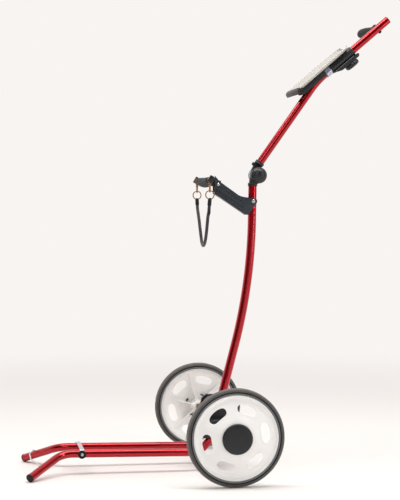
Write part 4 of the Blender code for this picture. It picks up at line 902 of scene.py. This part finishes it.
def make_leaf(name, body, node, sign, along, front, tube_end, tube_offset, collar_reach):
    """Hinge leaf: a round cheek on one side of the pivot and the collar that grips a tube's end."""
    nylon = black_nylon()
    outline = leaf_outline(collar_reach, tube_offset - 0.0120, tube_offset + 0.0115, LEAF_RADIUS,
                           body == "handle")
    basis = directions(along, front, along.cross(front))
    centre = PIVOT + Y * sign * (LEAF_GAP + LEAF_THICKNESS / 2)
    make_piece(f"{name}_cheek", slab(outline, LEAF_THICKNESS - 0.0002, 0.0014, 3), body, nylon, node,
               Matrix.Translation(centre) @ basis)
    collar = [(0.0, -0.0015), (0.0115, -0.0015, 0.0015), (0.0136, 0.0006, 0.0015), (0.0136, 0.0022, 0.0004),
              (0.0131, 0.0028, 0.0004), (0.0131, 0.0050, 0.0004), (0.0136, 0.0056, 0.0004), (0.0134, 0.0080, 0.0010),
              (0.0123, 0.0080), (0.0123, 0.0010), (0.0, 0.0010)]
    make_piece(f"{name}_collar", turned(collar, 64), body, nylon, node,
               axes(along, Y, tube_end))


class TROLLEY_OT_mast(bpy.types.Operator):
    """Make the mast tube, its foot and the folding hinge with its knob"""
    bl_idname = "trolley.mast"
    bl_label = "Mast and hinge"

    def execute(self, context):
        red, steel, nylon = red_lacquer(), zinc_steel(), black_nylon()
        low = AXLE + MAST_DIRECTION * 0.030
        route = rounded_route([low, MAST_CORNER, MAST_END], [1.5], 40)
        make_piece("mast_tube_lacquer", swept(route, ring_section(sizes().mast_radius, 48)), "mast",
                   red, "mast_tube")
        paint_node("mast_foot", nylon)
        paint_node("holder_pin", steel)
        paint_node("hinge_bolt", steel)
        make_leaf("hinge_lower", "mast", "hinge_lower_leaf", -1, -MAST_TOP_DIRECTION, MAST_FRONT, MAST_END,
                  MAST_OFFSET, 0.0245)
        handle_end = HANDLE_FOOT + HANDLE_DIRECTION * HANDLE_START
        make_leaf("hinge_upper", "handle", "hinge_upper_leaf", 1, HANDLE_DIRECTION, HANDLE_FRONT, handle_end,
                  HANDLE_OFFSET, 0.0300)
        button = [(0.0, 0.0062), (0.0030, 0.0060, 0.001), (0.0050, 0.0046, 0.0015), (0.0052, -0.0040), (0.0, -0.0040)]
        make_piece("hinge_lock_button", turned(button, 32), "handle", nylon, (),
                   axes(HANDLE_FRONT, Y, HANDLE_FOOT + HANDLE_DIRECTION * 0.0215 + HANDLE_FRONT * 0.0105 + Y * 0.006))
        leaf_out = LEAF_GAP + LEAF_THICKNESS + CLEARANCE
        rim = [(0.0200, 0.0016), (0.0208, 0.0016, 0.0003), (0.0208, 0.0138, 0.0003), (0.0200, 0.0138)]
        make_piece("hinge_rim_band", turned(rim, 64, True), "handle", band_metal(), (), axes(Y, X, PIVOT))
        plate = [(0.0043, 0.0), (0.0219, 0.0, 0.0006), (0.0219, 0.0024, 0.0012), (0.0160, 0.0025, 0.0006),
                 (0.0150, 0.0019, 0.0006), (0.0090, 0.0019, 0.0005), (0.0083, 0.0025, 0.0005), (0.0043, 0.0025)]
        make_piece("hinge_plate_steel", turned(plate, 64, True), "mast", steel, "hinge_plate",
                   axes(Y, X, PIVOT + Y * leaf_out))
        deep, radius = 0.026, sizes().knob_radius
        knob = [(0.0, deep), (radius * 0.30, deep - 0.0006), (radius * 0.55, deep - 0.0024, 0.004),
                (radius * 0.78, deep - 0.0060, 0.005), (radius * 0.90, deep - 0.0098, 0.0015),
                (radius * 0.93, deep - 0.0104, 0.0006), (radius, deep - 0.0128, 0.003),
                (radius, deep - 0.0190, 0.003), (radius * 0.88, 0.0030, 0.003), (radius * 0.60, 0.0, 0.002),
                (0.0043, 0.0), (0.0043, 0.0150), (0.0, 0.0150)]
        make_piece("hinge_knob_plastic", turned(knob, 96), "hinge_knob", nylon, "hinge_knob",
                   axes(-Y, X, PIVOT - Y * leaf_out))
        return {"FINISHED"}


# ---------------------------------------------------------------- handle
BOARD_THICKNESS = 0.0024


def board_mesh():
    """Score-card board: rounded sheet, its long edges turned up into a shallow trough."""
    size = sizes()
    half, high, corner = size.board_width / 2, 0.188, 0.042
    bm = bmesh.new()
    bmesh.ops.create_grid(bm, x_segments=24, y_segments=32, size=1.0)
    for vert in bm.verts:
        across, up = vert.co.x, (vert.co.y + 1) / 2
        # Rows are closer together towards the top, where the two corners are round.
        height = high * math.sin(up * math.pi / 2)
        over = max(0.0, height - (high - corner))
        edge = half - corner + math.sqrt(max(0.0, corner ** 2 - over ** 2))
        lift = size.board_curve * across ** 2
        vert.co = (edge * across, height, lift - BOARD_THICKNESS / 2)
    face_up(bm)
    bmesh.ops.solidify(bm, geom=list(bm.faces), thickness=BOARD_THICKNESS)
    return bm


class TROLLEY_OT_handle(bpy.types.Operator):
    """Make the handle tube, its end plug and the grip"""
    bl_idname = "trolley.handle"
    bl_label = "Handle"

    def execute(self, context):
        red, steel, nylon, rubber = red_lacquer(), zinc_steel(), black_nylon(), black_rubber()
        radius = sizes().handle_radius
        low = HANDLE_FOOT + HANDLE_DIRECTION * HANDLE_START
        end = HANDLE_CORNER + TOP_DIRECTION * HANDLE_LENGTH
        route = rounded_route([low, HANDLE_CORNER, end], [0.24], 24)
        make_piece("handle_tube_lacquer", swept(route, ring_section(radius, 44)), "handle", red,
                   "handle_tube")
        plug = [(0.0, 0.0026), (radius, 0.0026, 0.0012), (radius, 0.0, 0.0003), (0.0092, -0.0002), (0.0092, -0.018),
                (0.0, -0.018)]
        make_piece("handle_plug_plastic", turned(plug, 48), "handle", nylon, "handle_plug",
                   axes(TOP_DIRECTION, Y, end + TOP_DIRECTION * CLEARANCE))
        axis = on_handle(GRIP_ALONG, 0.0045)
        long, stem, bulb = 0.148, 0.0072, 0.0145
        grip = [(0.0, long), (bulb * 0.55, long - 0.0012, 0.003), (bulb * 0.90, long - 0.0065, 0.004),
                (bulb, long - 0.0170, 0.006), (bulb * 0.97, long - 0.0360, 0.008), (bulb * 0.84, long * 0.56, 0.010),
                (stem * 1.18, long * 0.33, 0.010), (stem, long * 0.16, 0.006), (stem * 1.1, 0.0040, 0.002),
                (stem * 1.5, 0.0012, 0.001), (stem * 1.5, 0.0, 0.0005), (0.0038, 0.0), (0.0038, long * 0.8),
                (0.0, long * 0.8)]
        bm = turned(grip, 64)
        for vert in bm.verts:
            # The hand presses a grip flat: it is a tenth thinner across the tube's direction.
            vert.co.y *= 0.9
            groove = 1 - 0.035 * max(0.0, math.cos(math.tau * (vert.co.z - 0.035) / 0.0215)) ** 4
            if 0.045 < vert.co.z < 0.125 and vert.co.x ** 2 + vert.co.y ** 2 > 0.005 ** 2:
                vert.co.x *= groove
                vert.co.y *= groove
        make_piece("grip_rubber", bm, "handle", rubber, "grip",
                   axes(Y, TOP_DIRECTION, axis + Y * (radius + CLEARANCE)))
        paint_node("grip_rod", steel)
        screw = [(0.0, 0.0040), (0.0035, 0.0034, 0.001), (0.0054, 0.0012, 0.001), (0.0054, 0.0), (0.0025, 0.0),
                 (0.0025, -0.0070), (0.0, -0.0070)]
        make_piece("grip_screw_cap", turned(screw, 32), "handle", nylon, "grip_screw",
                   axes(-TOP_FRONT, Y, on_handle(GRIP_ALONG, -radius - CLEARANCE)))
        return {"FINISHED"}


class TROLLEY_OT_console(bpy.types.Operator):
    """Make the sleeve on the handle, the card board with its arm and clip, and the clamp with its knob"""
    bl_idname = "trolley.console"
    bl_label = "Console"

    def execute(self, context):
        nylon, steel = black_nylon(), zinc_steel()
        bore = sizes().handle_radius + CLEARANCE
        sleeve = [(bore, 0.0), (0.0136, 0.0, 0.0006), (0.0140, 0.0030, 0.0008), (0.0134, 0.0042, 0.0006),
                  (0.0134, 0.0780, 0.0006), (0.0140, 0.0792, 0.0008), (0.0138, 0.0835, 0.0010), (bore, 0.0835)]
        make_piece("console_sleeve_plastic", turned(sleeve, 64, True), "handle", nylon,
                   "console_sleeve", axes(TOP_DIRECTION, Y, on_handle(0.0505)))
        band = [(bore, 0.0), (0.0130, 0.0, 0.0008), (0.0130, 0.0185, 0.0008), (bore, 0.0185)]
        make_piece("console_band_silver", turned(band, 64, True), "handle", band_metal(), "console_band",
                   axes(TOP_DIRECTION, Y, on_handle(0.0315)))
        self.arm(nylon)
        basis = directions(-Y, TOP_DIRECTION, TOP_FRONT)
        make_piece("card_board_frosted", board_mesh(), "handle", frosted_board(), "card_board",
                   Matrix.Translation(on_handle(-0.068, 0.0143 + BOARD_THICKNESS)) @ basis)
        profile = directions(TOP_DIRECTION, TOP_FRONT, -Y)
        half = sizes().board_width / 2 - 0.004
        clip = [(0.0120, -0.0025, 0.0006), (0.0120, 0.0030, 0.0015), (0.0085, 0.0053, 0.003),
                (-0.0010, 0.0053, 0.004), (-0.0062, 0.0020, 0.005), (-0.0078, -0.0080, 0.002),
                (-0.0040, -0.0092, 0.002), (-0.0024, -0.0080, 0.002), (-0.0020, -0.0025, 0.0006)]
        make_piece("card_clip_smoke", slab(clip, 2 * half, 0.0012, 3), "card_clip", smoke_plastic(),
                   "card_clip", Matrix.Translation(CLIP_PIN) @ profile, sharp=40)
        paint_node("card_clip_pin", steel)
        mount = [(0.0520, -0.0143), (0.0580, -0.0152, 0.004), (0.0740, -0.0232, 0.006), (0.1370, -0.0232, 0.003),
                 (0.1412, -0.0185, 0.003), (0.1402, -0.0143)]
        make_piece("console_mount_plastic", slab(mount, 0.030, 0.0022, 3), "handle", nylon,
                   "console_mount", Matrix.Translation(HANDLE_CORNER) @ profile)
        paint_node("console_screw", steel)
        self.knob(nylon)
        return {"FINISHED"}

    def arm(self, nylon):
        """Channel under the board: two side walls and the web that the board is fixed to."""
        front = 0.0140
        for side, sign in SIDES:
            wall = [(0.0312, front, 0.001), (0.0312, -0.0040, 0.003), (-0.0560, -0.0038, 0.004),
                    (-0.0640, 0.0010, 0.004), (-0.0640, front, 0.001)]
            profile = directions(TOP_DIRECTION, TOP_FRONT, -Y)
            make_piece(f"card_arm_wall_{side}", slab(wall, 0.0020, 0.0005, 2), "handle", nylon,
                       "card_arm", Matrix.Translation(HANDLE_CORNER + Y * sign * 0.0128) @ profile)
        web = placed(brick((0.0950, 0.0234, 0.0020), 0.0006, 2), Matrix.Translation((-0.0164, 0, 0.0130)))
        basis = directions(TOP_DIRECTION, Y, TOP_FRONT)
        make_piece("card_arm_web", web, "handle", nylon, "card_arm",
                   Matrix.Translation(HANDLE_CORNER) @ basis)

    def knob(self, nylon):
        deep, radius = 0.013, 0.0215
        profile = [(0.0, deep - 0.0010), (radius * 0.40, deep - 0.0010, 0.001), (radius * 0.46, deep, 0.001),
                   (radius * 0.82, deep, 0.002), (radius, deep - 0.0030, 0.0025), (radius, 0.0028, 0.002),
                   (radius * 0.88, 0.0, 0.001), (0.0033, 0.0), (0.0033, 0.0090), (0.0, 0.0090)]
        bm = turned(profile, 96)
        for vert in bm.verts:
            reach = vert.co.to_2d().length
            if reach > radius * 0.6:
                # Eight shallow finger hollows round the rim.
                angle = math.atan2(vert.co.y, vert.co.x)
                share = (reach / radius - 0.6) / 0.4
                shrink = 1 - 0.07 * share * (0.5 + 0.5 * math.cos(8 * angle)) ** 2
                vert.co.x *= shrink
                vert.co.y *= shrink
        make_piece("console_knob_plastic", bm, "console_knob", nylon, "console_knob",
                   axes(-TOP_FRONT, Y, on_handle(0.109, -0.0236)))


# ---------------------------------------------------------------- bag holder and strap
# Half the pad's length, and how far an end piece reaches past it.
CRADLE_HALF = 0.0950
CRADLE_END = 0.0180


class TROLLEY_OT_holder(bpy.types.Operator):
    """Make the bag holder: channel arm, padded cradle and its hook ends"""
    bl_idname = "trolley.holder"
    bl_label = "Bag holder"

    def execute(self, context):
        nylon, rubber, steel = black_nylon(), black_rubber(), zinc_steel()
        slate = black_nylon("slate_nylon", colours().arm)
        profile = directions(X, Z, -Y)
        cheek = [(-0.1106, 0.0708, 0.002), (-0.0966, 0.0545, 0.006), (-0.0375, 0.0130, 0.010),
                 (0.0070, 0.0070, 0.004), (0.0110, 0.0020, 0.003), (0.0105, -0.0040, 0.003),
                 (0.0055, -0.0110, 0.006), (-0.0070, -0.0280, 0.006),
                 (-0.0130, -0.0390, 0.002), (-0.0218, -0.0382, 0.002), (-0.0350, -0.0265), (-0.1104, 0.0201, 0.002)]
        inner, wall = 0.0135, 0.0030
        for side, sign in SIDES:
            make_piece(f"holder_cheek_{side}", slab(cheek, wall, 0.0009, 3), "bag_holder", slate,
                       "holder_arm", Matrix.Translation(HOLDER_PIN + Y * sign * (inner + wall / 2)) @ profile)
            self.cradle_end(side, sign, nylon)
        web = [(-0.0132, -0.0385, 0.001), (-0.0218, -0.0378, 0.001), (-0.1098, 0.0203, 0.001),
               (-0.1096, 0.0252, 0.001), (-0.0250, -0.0322, 0.001), (-0.0132, -0.0322, 0.001)]
        make_piece("holder_web", slab(web, 2 * inner, 0.0004, 2), "bag_holder", nylon, "holder_arm",
                   Matrix.Translation(HOLDER_PIN) @ profile)
        ridge = [(-0.1030, 0.0505, 0.001), (-0.0960, 0.0430, 0.002), (-0.0330, 0.0020, 0.003),
                 (-0.0340, 0.0002, 0.001), (-0.0980, 0.0415, 0.002), (-0.1042, 0.0488, 0.001)]
        lower_ridge = [(-0.1080, 0.0262, 0.001), (-0.0300, -0.0250, 0.001), (-0.0308, -0.0266, 0.001),
                       (-0.1088, 0.0246, 0.001)]
        # Painted shade: the seam is a black strip laid along the groove between the two ridges, where shade falls.
        # The lip below it is the web's black lower edge.
        seam = [(-0.1060, 0.0330, 0.001), (-0.0280, -0.0175, 0.001), (-0.0290, -0.0204, 0.001),
                (-0.1068, 0.0298, 0.001)]
        lip = [(-0.1104, 0.0228, 0.001), (-0.0350, -0.0240, 0.001), (-0.0350, -0.0262, 0.001),
               (-0.1104, 0.0203, 0.001)]
        for side, sign in SIDES:
            rib = merged(slab(ridge, 0.0014, 0.0004, 2), slab(lower_ridge, 0.0014, 0.0004, 2))
            outside = HOLDER_PIN + Y * sign * (inner + wall + CLEARANCE)
            make_piece(f"holder_rib_{side}", rib, "bag_holder", slate, "holder_arm",
                       Matrix.Translation(outside) @ profile)
            # One black piece holds the groove's painted shade and the web's lip.
            dark = merged(slab(seam, 0.0010, 0.0003, 2), slab(lip, 0.0010, 0.0003, 2))
            make_piece(f"holder_groove_shade_and_lip_{side}", dark, "bag_holder", nylon, "holder_arm",
                       Matrix.Translation(outside) @ profile)
        self.cradle(rubber)
        paint_node("cradle_rivet", steel)
        return {"FINISHED"}

    def cradle(self, rubber):
        half, bow, sag = CRADLE_HALF, 0.0060, 0.0060
        route, scales = [], []
        for index in range(61):
            along = index / 30 - 1
            route.append(CRADLE + Vector((bow * (1 - along * along), half * along, -sag * (1 - along * along))))
            share = 1 - abs(along) ** 2.2
            swell = 0.0085 + 0.0060 * share
            # Rounded shoulders at both ends of the pad.
            tip = max(0.0, (abs(along) - 0.955) / 0.045)
            scales.append(swell * (1 - 0.35 * tip ** 2))
        pad = swept(route, [Vector((p.x, p.y * 0.96)) for p in ring_section(1.0, 40)], X, scales)
        make_piece("cradle_pad", pad, "bag_holder", rubber, "cradle", sharp=60)
        lug = placed(brick((0.038, 0.0264, 0.016), 0.002, 3), Matrix.Translation(CRADLE + Vector((0.029, 0, -0.008))))
        make_piece("cradle_lug", lug, "bag_holder", rubber, "cradle")
        for side, sign in SIDES:
            collar = [(0.0044, 0.0), (0.0072, 0.0, 0.001), (0.0078, -0.0030, 0.001), (0.0044, -0.0030)]
            make_piece(f"cradle_collar_{side}", turned(collar, 40, True), "bag_holder", rubber,
                       "cradle", axes(Y * sign, X, CRADLE + Y * sign * (half + 0.0016)))

    def cradle_end(self, side, sign, nylon):
        out = CRADLE_HALF + CRADLE_END
        tilt = Vector((math.sin(math.radians(30)), 0, math.cos(math.radians(30))))
        tab = brick((0.0118, 0.0090, 0.0190), 0.0014, 3)
        spot = CRADLE + Y * sign * (out + 0.0045) + Z * 0.002
        make_piece(f"cradle_tab_{side}", tab, "bag_holder", nylon, f"cradle_end_{side}",
                   axes(tilt, X, spot))
        neck = [(0.0, out + 0.002), (0.0040, out + 0.002), (0.0040, 0.0775, 0.0005), (0.0, 0.0775)]
        make_piece(f"cradle_neck_{side}", turned(neck, 32), "bag_holder", nylon,
                   f"cradle_end_{side}", axes(Y * sign, X, CRADLE))


HOOK_Y = CRADLE_HALF + CRADLE_END / 2
RING_DROP = 0.0410
RING_RADIUS = 0.0115
# Elastic strap's route from the left ring to the right one, as offsets from the cradle: sideways and up.
STRAP_ROUTE = ((0.0985, -0.0690), (0.0955, -0.0780), (0.0830, -0.0930), (0.0660, -0.1130), (0.0520, -0.1330),
               (0.0390, -0.1510), (0.0270, -0.1660), (0.0140, -0.1770), (-0.0010, -0.1820), (-0.0170, -0.1795),
               (-0.0320, -0.1705), (-0.0450, -0.1570), (-0.0560, -0.1400), (-0.0660, -0.1200), (-0.0760, -0.1000),
               (-0.0890, -0.0870), (-0.0928, -0.0786), (-0.0965, -0.0700))


class TROLLEY_OT_strap(bpy.types.Operator):
    """Make the elastic strap with its snap hooks and split rings"""
    bl_idname = "trolley.strap"
    bl_label = "Strap"

    def execute(self, context):
        metal_finish, cover, rubber = brass(), braided_cord(), black_rubber()
        for side, sign in SIDES:
            self.hook(side, sign, metal_finish)
            self.ring(side, sign, metal_finish)
            self.strap_end(side, sign, rubber)
        route = smooth_route([CRADLE + Vector((0, y, z)) for y, z in STRAP_ROUTE], 0.003)
        bm = swept(route, ring_section(sizes().cord_diameter / 2, 24))
        wrap_uv(bm)
        cord = make_piece("strap_elastic", bm, "strap", cover, "strap_cord")
        # The elastic's tail is turned back and bound beside the near strand.
        tail = [(0.0, 0.0105), (0.0020, 0.0100, 0.001), (0.0036, 0.0060, 0.002), (0.0042, 0.0, 0.003),
                (0.0034, -0.0060, 0.002), (0.0018, -0.0100, 0.001), (0.0, -0.0105)]
        knot = make_piece("strap_tail_knot", turned(tail, 32), "strap", rubber, (),
                          axes(Vector((0, -0.35, 0.94)), X, CRADLE + Vector((0, -0.0945, -0.0880))))
        return {"FINISHED"}

    def hook(self, side, sign, finish):
        centre = CRADLE + Y * sign * HOOK_Y
        eye = [centre + X * 0.0058 * math.cos(math.tau * i / 40) + Z * 0.0058 * math.sin(math.tau * i / 40)
               for i in range(40)]
        whole = swept(eye, ring_section(0.0016, 14), Y, closed=True)
        barrel = [(0.0, -0.0066), (0.0022, -0.0066, 0.0003), (0.0028, -0.0086, 0.0006), (0.0042, -0.0092, 0.0004),
                  (0.0042, -0.0108, 0.0004), (0.0032, -0.0116, 0.0006), (0.0032, -0.0150, 0.0006),
                  (0.0043, -0.0158, 0.0004), (0.0043, -0.0176, 0.0005), (0.0, -0.0180)]
        whole = merged(whole, placed(turned(barrel, 32), Matrix.Translation(centre)))
        low = centre - Z * 0.0250
        loop = []
        for i in range(48):
            angle = math.tau * i / 48
            rise = 0.0052 if math.sin(angle) > 0 else -0.0035
            tall = 0.0040 if math.sin(angle) > 0 else 0.0045
            loop.append(low + Y * 0.0045 * math.cos(angle) + Z * (rise + tall * math.sin(angle)))
        whole = merged(whole, swept(loop, ring_section(0.0017, 14), X, closed=True))
        thumb = placed(brick((0.0022, 0.0016, 0.0030), 0.0005, 2), Matrix.Translation(low + Y * 0.0058 + Z * 0.0015))
        whole = merged(whole, thumb)
        make_piece(f"snap_hook_{side}_brass", whole, "strap", finish, f"snap_hook_{side}", sharp=45)

    def ring(self, side, sign, finish):
        """Split ring: two flat turns of wire, side by side."""
        centre = CRADLE + Y * sign * HOOK_Y - Z * RING_DROP
        route = []
        turns, steps = 2.0, 96
        for i in range(steps + 1):
            angle = math.tau * turns * i / steps + math.radians(200)
            shift = 0.0022 * (i / steps - 0.5)
            route.append(centre + X * RING_RADIUS * math.cos(angle) + Z * RING_RADIUS * math.sin(angle) + Y * shift)
        coil = swept(route, ring_section(0.0014, 12), Y)
        make_piece(f"split_ring_{side}_brass", coil, "strap", finish, f"split_ring_{side}", sharp=45)

    def strap_end(self, side, sign, rubber):
        """Lump where the strap is turned back through its ring and bound."""
        y, z = STRAP_ROUTE[0] if sign > 0 else STRAP_ROUTE[-1]
        end = CRADLE + Vector((0, y, z))
        ring_low = CRADLE + Y * sign * HOOK_Y - Z * (RING_DROP + RING_RADIUS)
        towards = ring_low - end
        reach = towards.length + 0.0036
        wrap = [(0.0, 0.0009), (0.0050, 0.0009, 0.001), (0.0056, 0.0025, 0.001), (0.0052, 0.0040, 0.0006),
                (0.0056, 0.0052, 0.0006), (0.0052, 0.0064, 0.0006), (0.0056, 0.0076, 0.0006),
                (0.0052, 0.0088, 0.0006), (0.0054, 0.0115, 0.002), (0.0050, reach - 0.002, 0.002), (0.0, reach)]
        make_piece(f"strap_end_{side}_wrap", turned(wrap, 36), "strap", rubber, f"strap_end_{side}",
                   axes(towards, X, end))


# ---------------------------------------------------------------- stage, light and camera
class TROLLEY_OT_stage(bpy.types.Operator):
    """Make the pale floor, the studio light and the camera"""
    bl_idname = "trolley.stage"
    bl_label = "Stage"

    def execute(self, context):
        self.floor()
        self.surroundings()
        self.softbox("overhead_softbox", (-0.1, -0.35, 2.9), (0.0, 0.0, 0.5), (3.4, 0.7), 60)
        self.softbox("side_softbox", (2.6, -2.4, 1.5), (0.1, 0.0, 0.6), (0.45, 2.4), 26)
        self.softbox("front_softbox", (-1.6, -3.6, 2.4), (0.0, 0.0, 0.4), (1.6, 1.6), 24)
        self.camera()
        context.scene.view_settings.view_transform = "Standard"
        context.scene.view_settings.look = "None"
        return {"FINISHED"}

    def floor(self):
        bm = bmesh.new()
        bmesh.ops.create_circle(bm, cap_ends=True, segments=96, radius=40.0)
        bmesh.ops.recalc_face_normals(bm, faces=bm.faces)
        mesh = bpy.data.meshes.new("studio_floor")
        bm.to_mesh(mesh)
        bm.free()
        floor = bpy.data.objects.new("studio_floor", mesh)
        floor.location.z = -0.0002
        bpy.context.scene.collection.objects.link(floor)
        material = bpy.data.materials.new("paper_sweep")
        material.use_nodes = True
        tree = material.node_tree
        shader = tree.nodes["Principled BSDF"]
        set_shader(shader, Roughness=0.9, Specular_IOR_Level=0.1)
        shader.inputs["Base Color"].default_value = shade(colours().backdrop, 0.87)
        # Away from the trolley the paper fades into the evenly lit background.
        place = add(tree, "ShaderNodeTexCoord")
        reach = add(tree, "ShaderNodeVectorMath", {0: (place, "Object")}, operation="LENGTH")
        fade = add(tree, "ShaderNodeMapRange", {"Value": (reach, "Value"), "From Min": 0.9, "From Max": 3.2},
                   interpolation_type="SMOOTHSTEP")
        glow = add(tree, "ShaderNodeEmission", {"Color": (*colours().backdrop, 1.0), "Strength": 1.0})
        mix = add(tree, "ShaderNodeMixShader", {"Fac": (fade, 0), 1: (shader, 0), 2: (glow, 0)})
        tree.links.new(mix.outputs[0], tree.nodes["Material Output"].inputs["Surface"])
        mesh.materials.append(material)

    def surroundings(self):
        """Pale background; what the lacquer reflects is bright above and behind, and dim where the camera is."""
        world = bpy.data.worlds.new("studio")
        bpy.context.scene.world = world
        world.use_nodes = True
        tree = world.node_tree
        tree.nodes.clear()
        place = add(tree, "ShaderNodeTexCoord")
        split = add(tree, "ShaderNodeSeparateXYZ", {0: (place, "Generated")})
        behind = add(tree, "ShaderNodeMapRange", {"Value": (split, 1), "From Min": -0.35, "From Max": 0.35,
                                                  "To Min": 0.05, "To Max": 1.0}, interpolation_type="SMOOTHSTEP")
        above = add(tree, "ShaderNodeMapRange", {"Value": (split, 2), "From Min": 0.5, "From Max": 0.95,
                                                 "To Min": 0.0, "To Max": 0.9}, interpolation_type="SMOOTHSTEP")
        level = add(tree, "ShaderNodeMath", {0: (behind, 0), 1: (above, 0)}, operation="MAXIMUM")
        room = add(tree, "ShaderNodeBackground", {"Color": (1.0, 0.98, 0.96, 1.0), "Strength": (level, 0)})
        paper = add(tree, "ShaderNodeBackground", {"Color": (*colours().backdrop, 1.0), "Strength": 1.0})
        rays = add(tree, "ShaderNodeLightPath")
        mix = add(tree, "ShaderNodeMixShader", {"Fac": (rays, "Is Camera Ray"), 1: (room, 0), 2: (paper, 0)})
        out = add(tree, "ShaderNodeOutputWorld")
        tree.links.new(mix.outputs[0], out.inputs["Surface"])

    def softbox(self, name, place, target, size, power):
        data = bpy.data.lights.new(name, "AREA")
        data.shape = "RECTANGLE"
        data.size, data.size_y = size
        data.energy = power
        data.color = (1.0, 0.985, 0.965)
        lamp = bpy.data.objects.new(name, data)
        lamp.location = place
        lamp.rotation_euler = (Vector(target) - Vector(place)).to_track_quat("-Z", "Y").to_euler()
        bpy.context.scene.collection.objects.link(lamp)

    def camera(self):
        data = bpy.data.cameras.new("camera")
        data.lens, data.sensor_width = 100.78, 36.0
        yaw, pitch, roll = (math.radians(angle) for angle in (9.79, 1.916, -0.279))
        forward = Vector((math.sin(yaw) * math.cos(pitch), math.cos(yaw) * math.cos(pitch), -math.sin(pitch)))
        right = Vector((math.cos(yaw), -math.sin(yaw), 0))
        down = forward.cross(right)
        tilted_right = right * math.cos(roll) + down * math.sin(roll)
        tilted_down = down * math.cos(roll) - right * math.sin(roll)
        camera = bpy.data.objects.new("camera", data)
        turn = Matrix((tilted_right, -tilted_down, -forward)).transposed().to_4x4()
        camera.matrix_world = Matrix.Translation((AXLE.x - 0.7119, -3.8585, 0.7414)) @ turn
        bpy.context.scene.collection.objects.link(camera)
        bpy.context.scene.camera = camera


# ---------------------------------------------------------------- add-on
STEPS = (TROLLEY_OT_stage, TROLLEY_OT_wheels, TROLLEY_OT_base, TROLLEY_OT_mast, TROLLEY_OT_handle,
         TROLLEY_OT_console, TROLLEY_OT_holder, TROLLEY_OT_strap)


class TROLLEY_PT_panel(bpy.types.Panel):
    """Sizes, colours and the pieces of the trolley"""
    bl_idname = "TROLLEY_PT_panel"
    bl_label = "Golf Pull Trolley"
    bl_space_type = "VIEW_3D"
    bl_region_type = "UI"
    bl_category = "Trolley"

    def draw(self, context):
        for group in (context.scene.trolley_sizes, context.scene.trolley_colours):
            box = self.layout.box()
            for key in group.bl_rna.properties.keys():
                if key not in ("rna_type", "name"):
                    box.prop(group, key)
        for step in STEPS:
            self.layout.operator(step.bl_idname)


CLASSES = (TrolleySizes, TrolleyColours) + STEPS + (TROLLEY_PT_panel,)


def register():
    for cls in CLASSES:
        bpy.utils.register_class(cls)
    bpy.types.Scene.trolley_sizes = PointerProperty(type=TrolleySizes)
    bpy.types.Scene.trolley_colours = PointerProperty(type=TrolleyColours)


def unregister():
    del bpy.types.Scene.trolley_colours
    del bpy.types.Scene.trolley_sizes
    for cls in reversed(CLASSES):
        bpy.utils.unregister_class(cls)


def main():
    register()
    for step in STEPS:
        group, name = step.bl_idname.split(".")
        getattr(getattr(bpy.ops, group), name)()


if __name__ == "__main__":
    main()
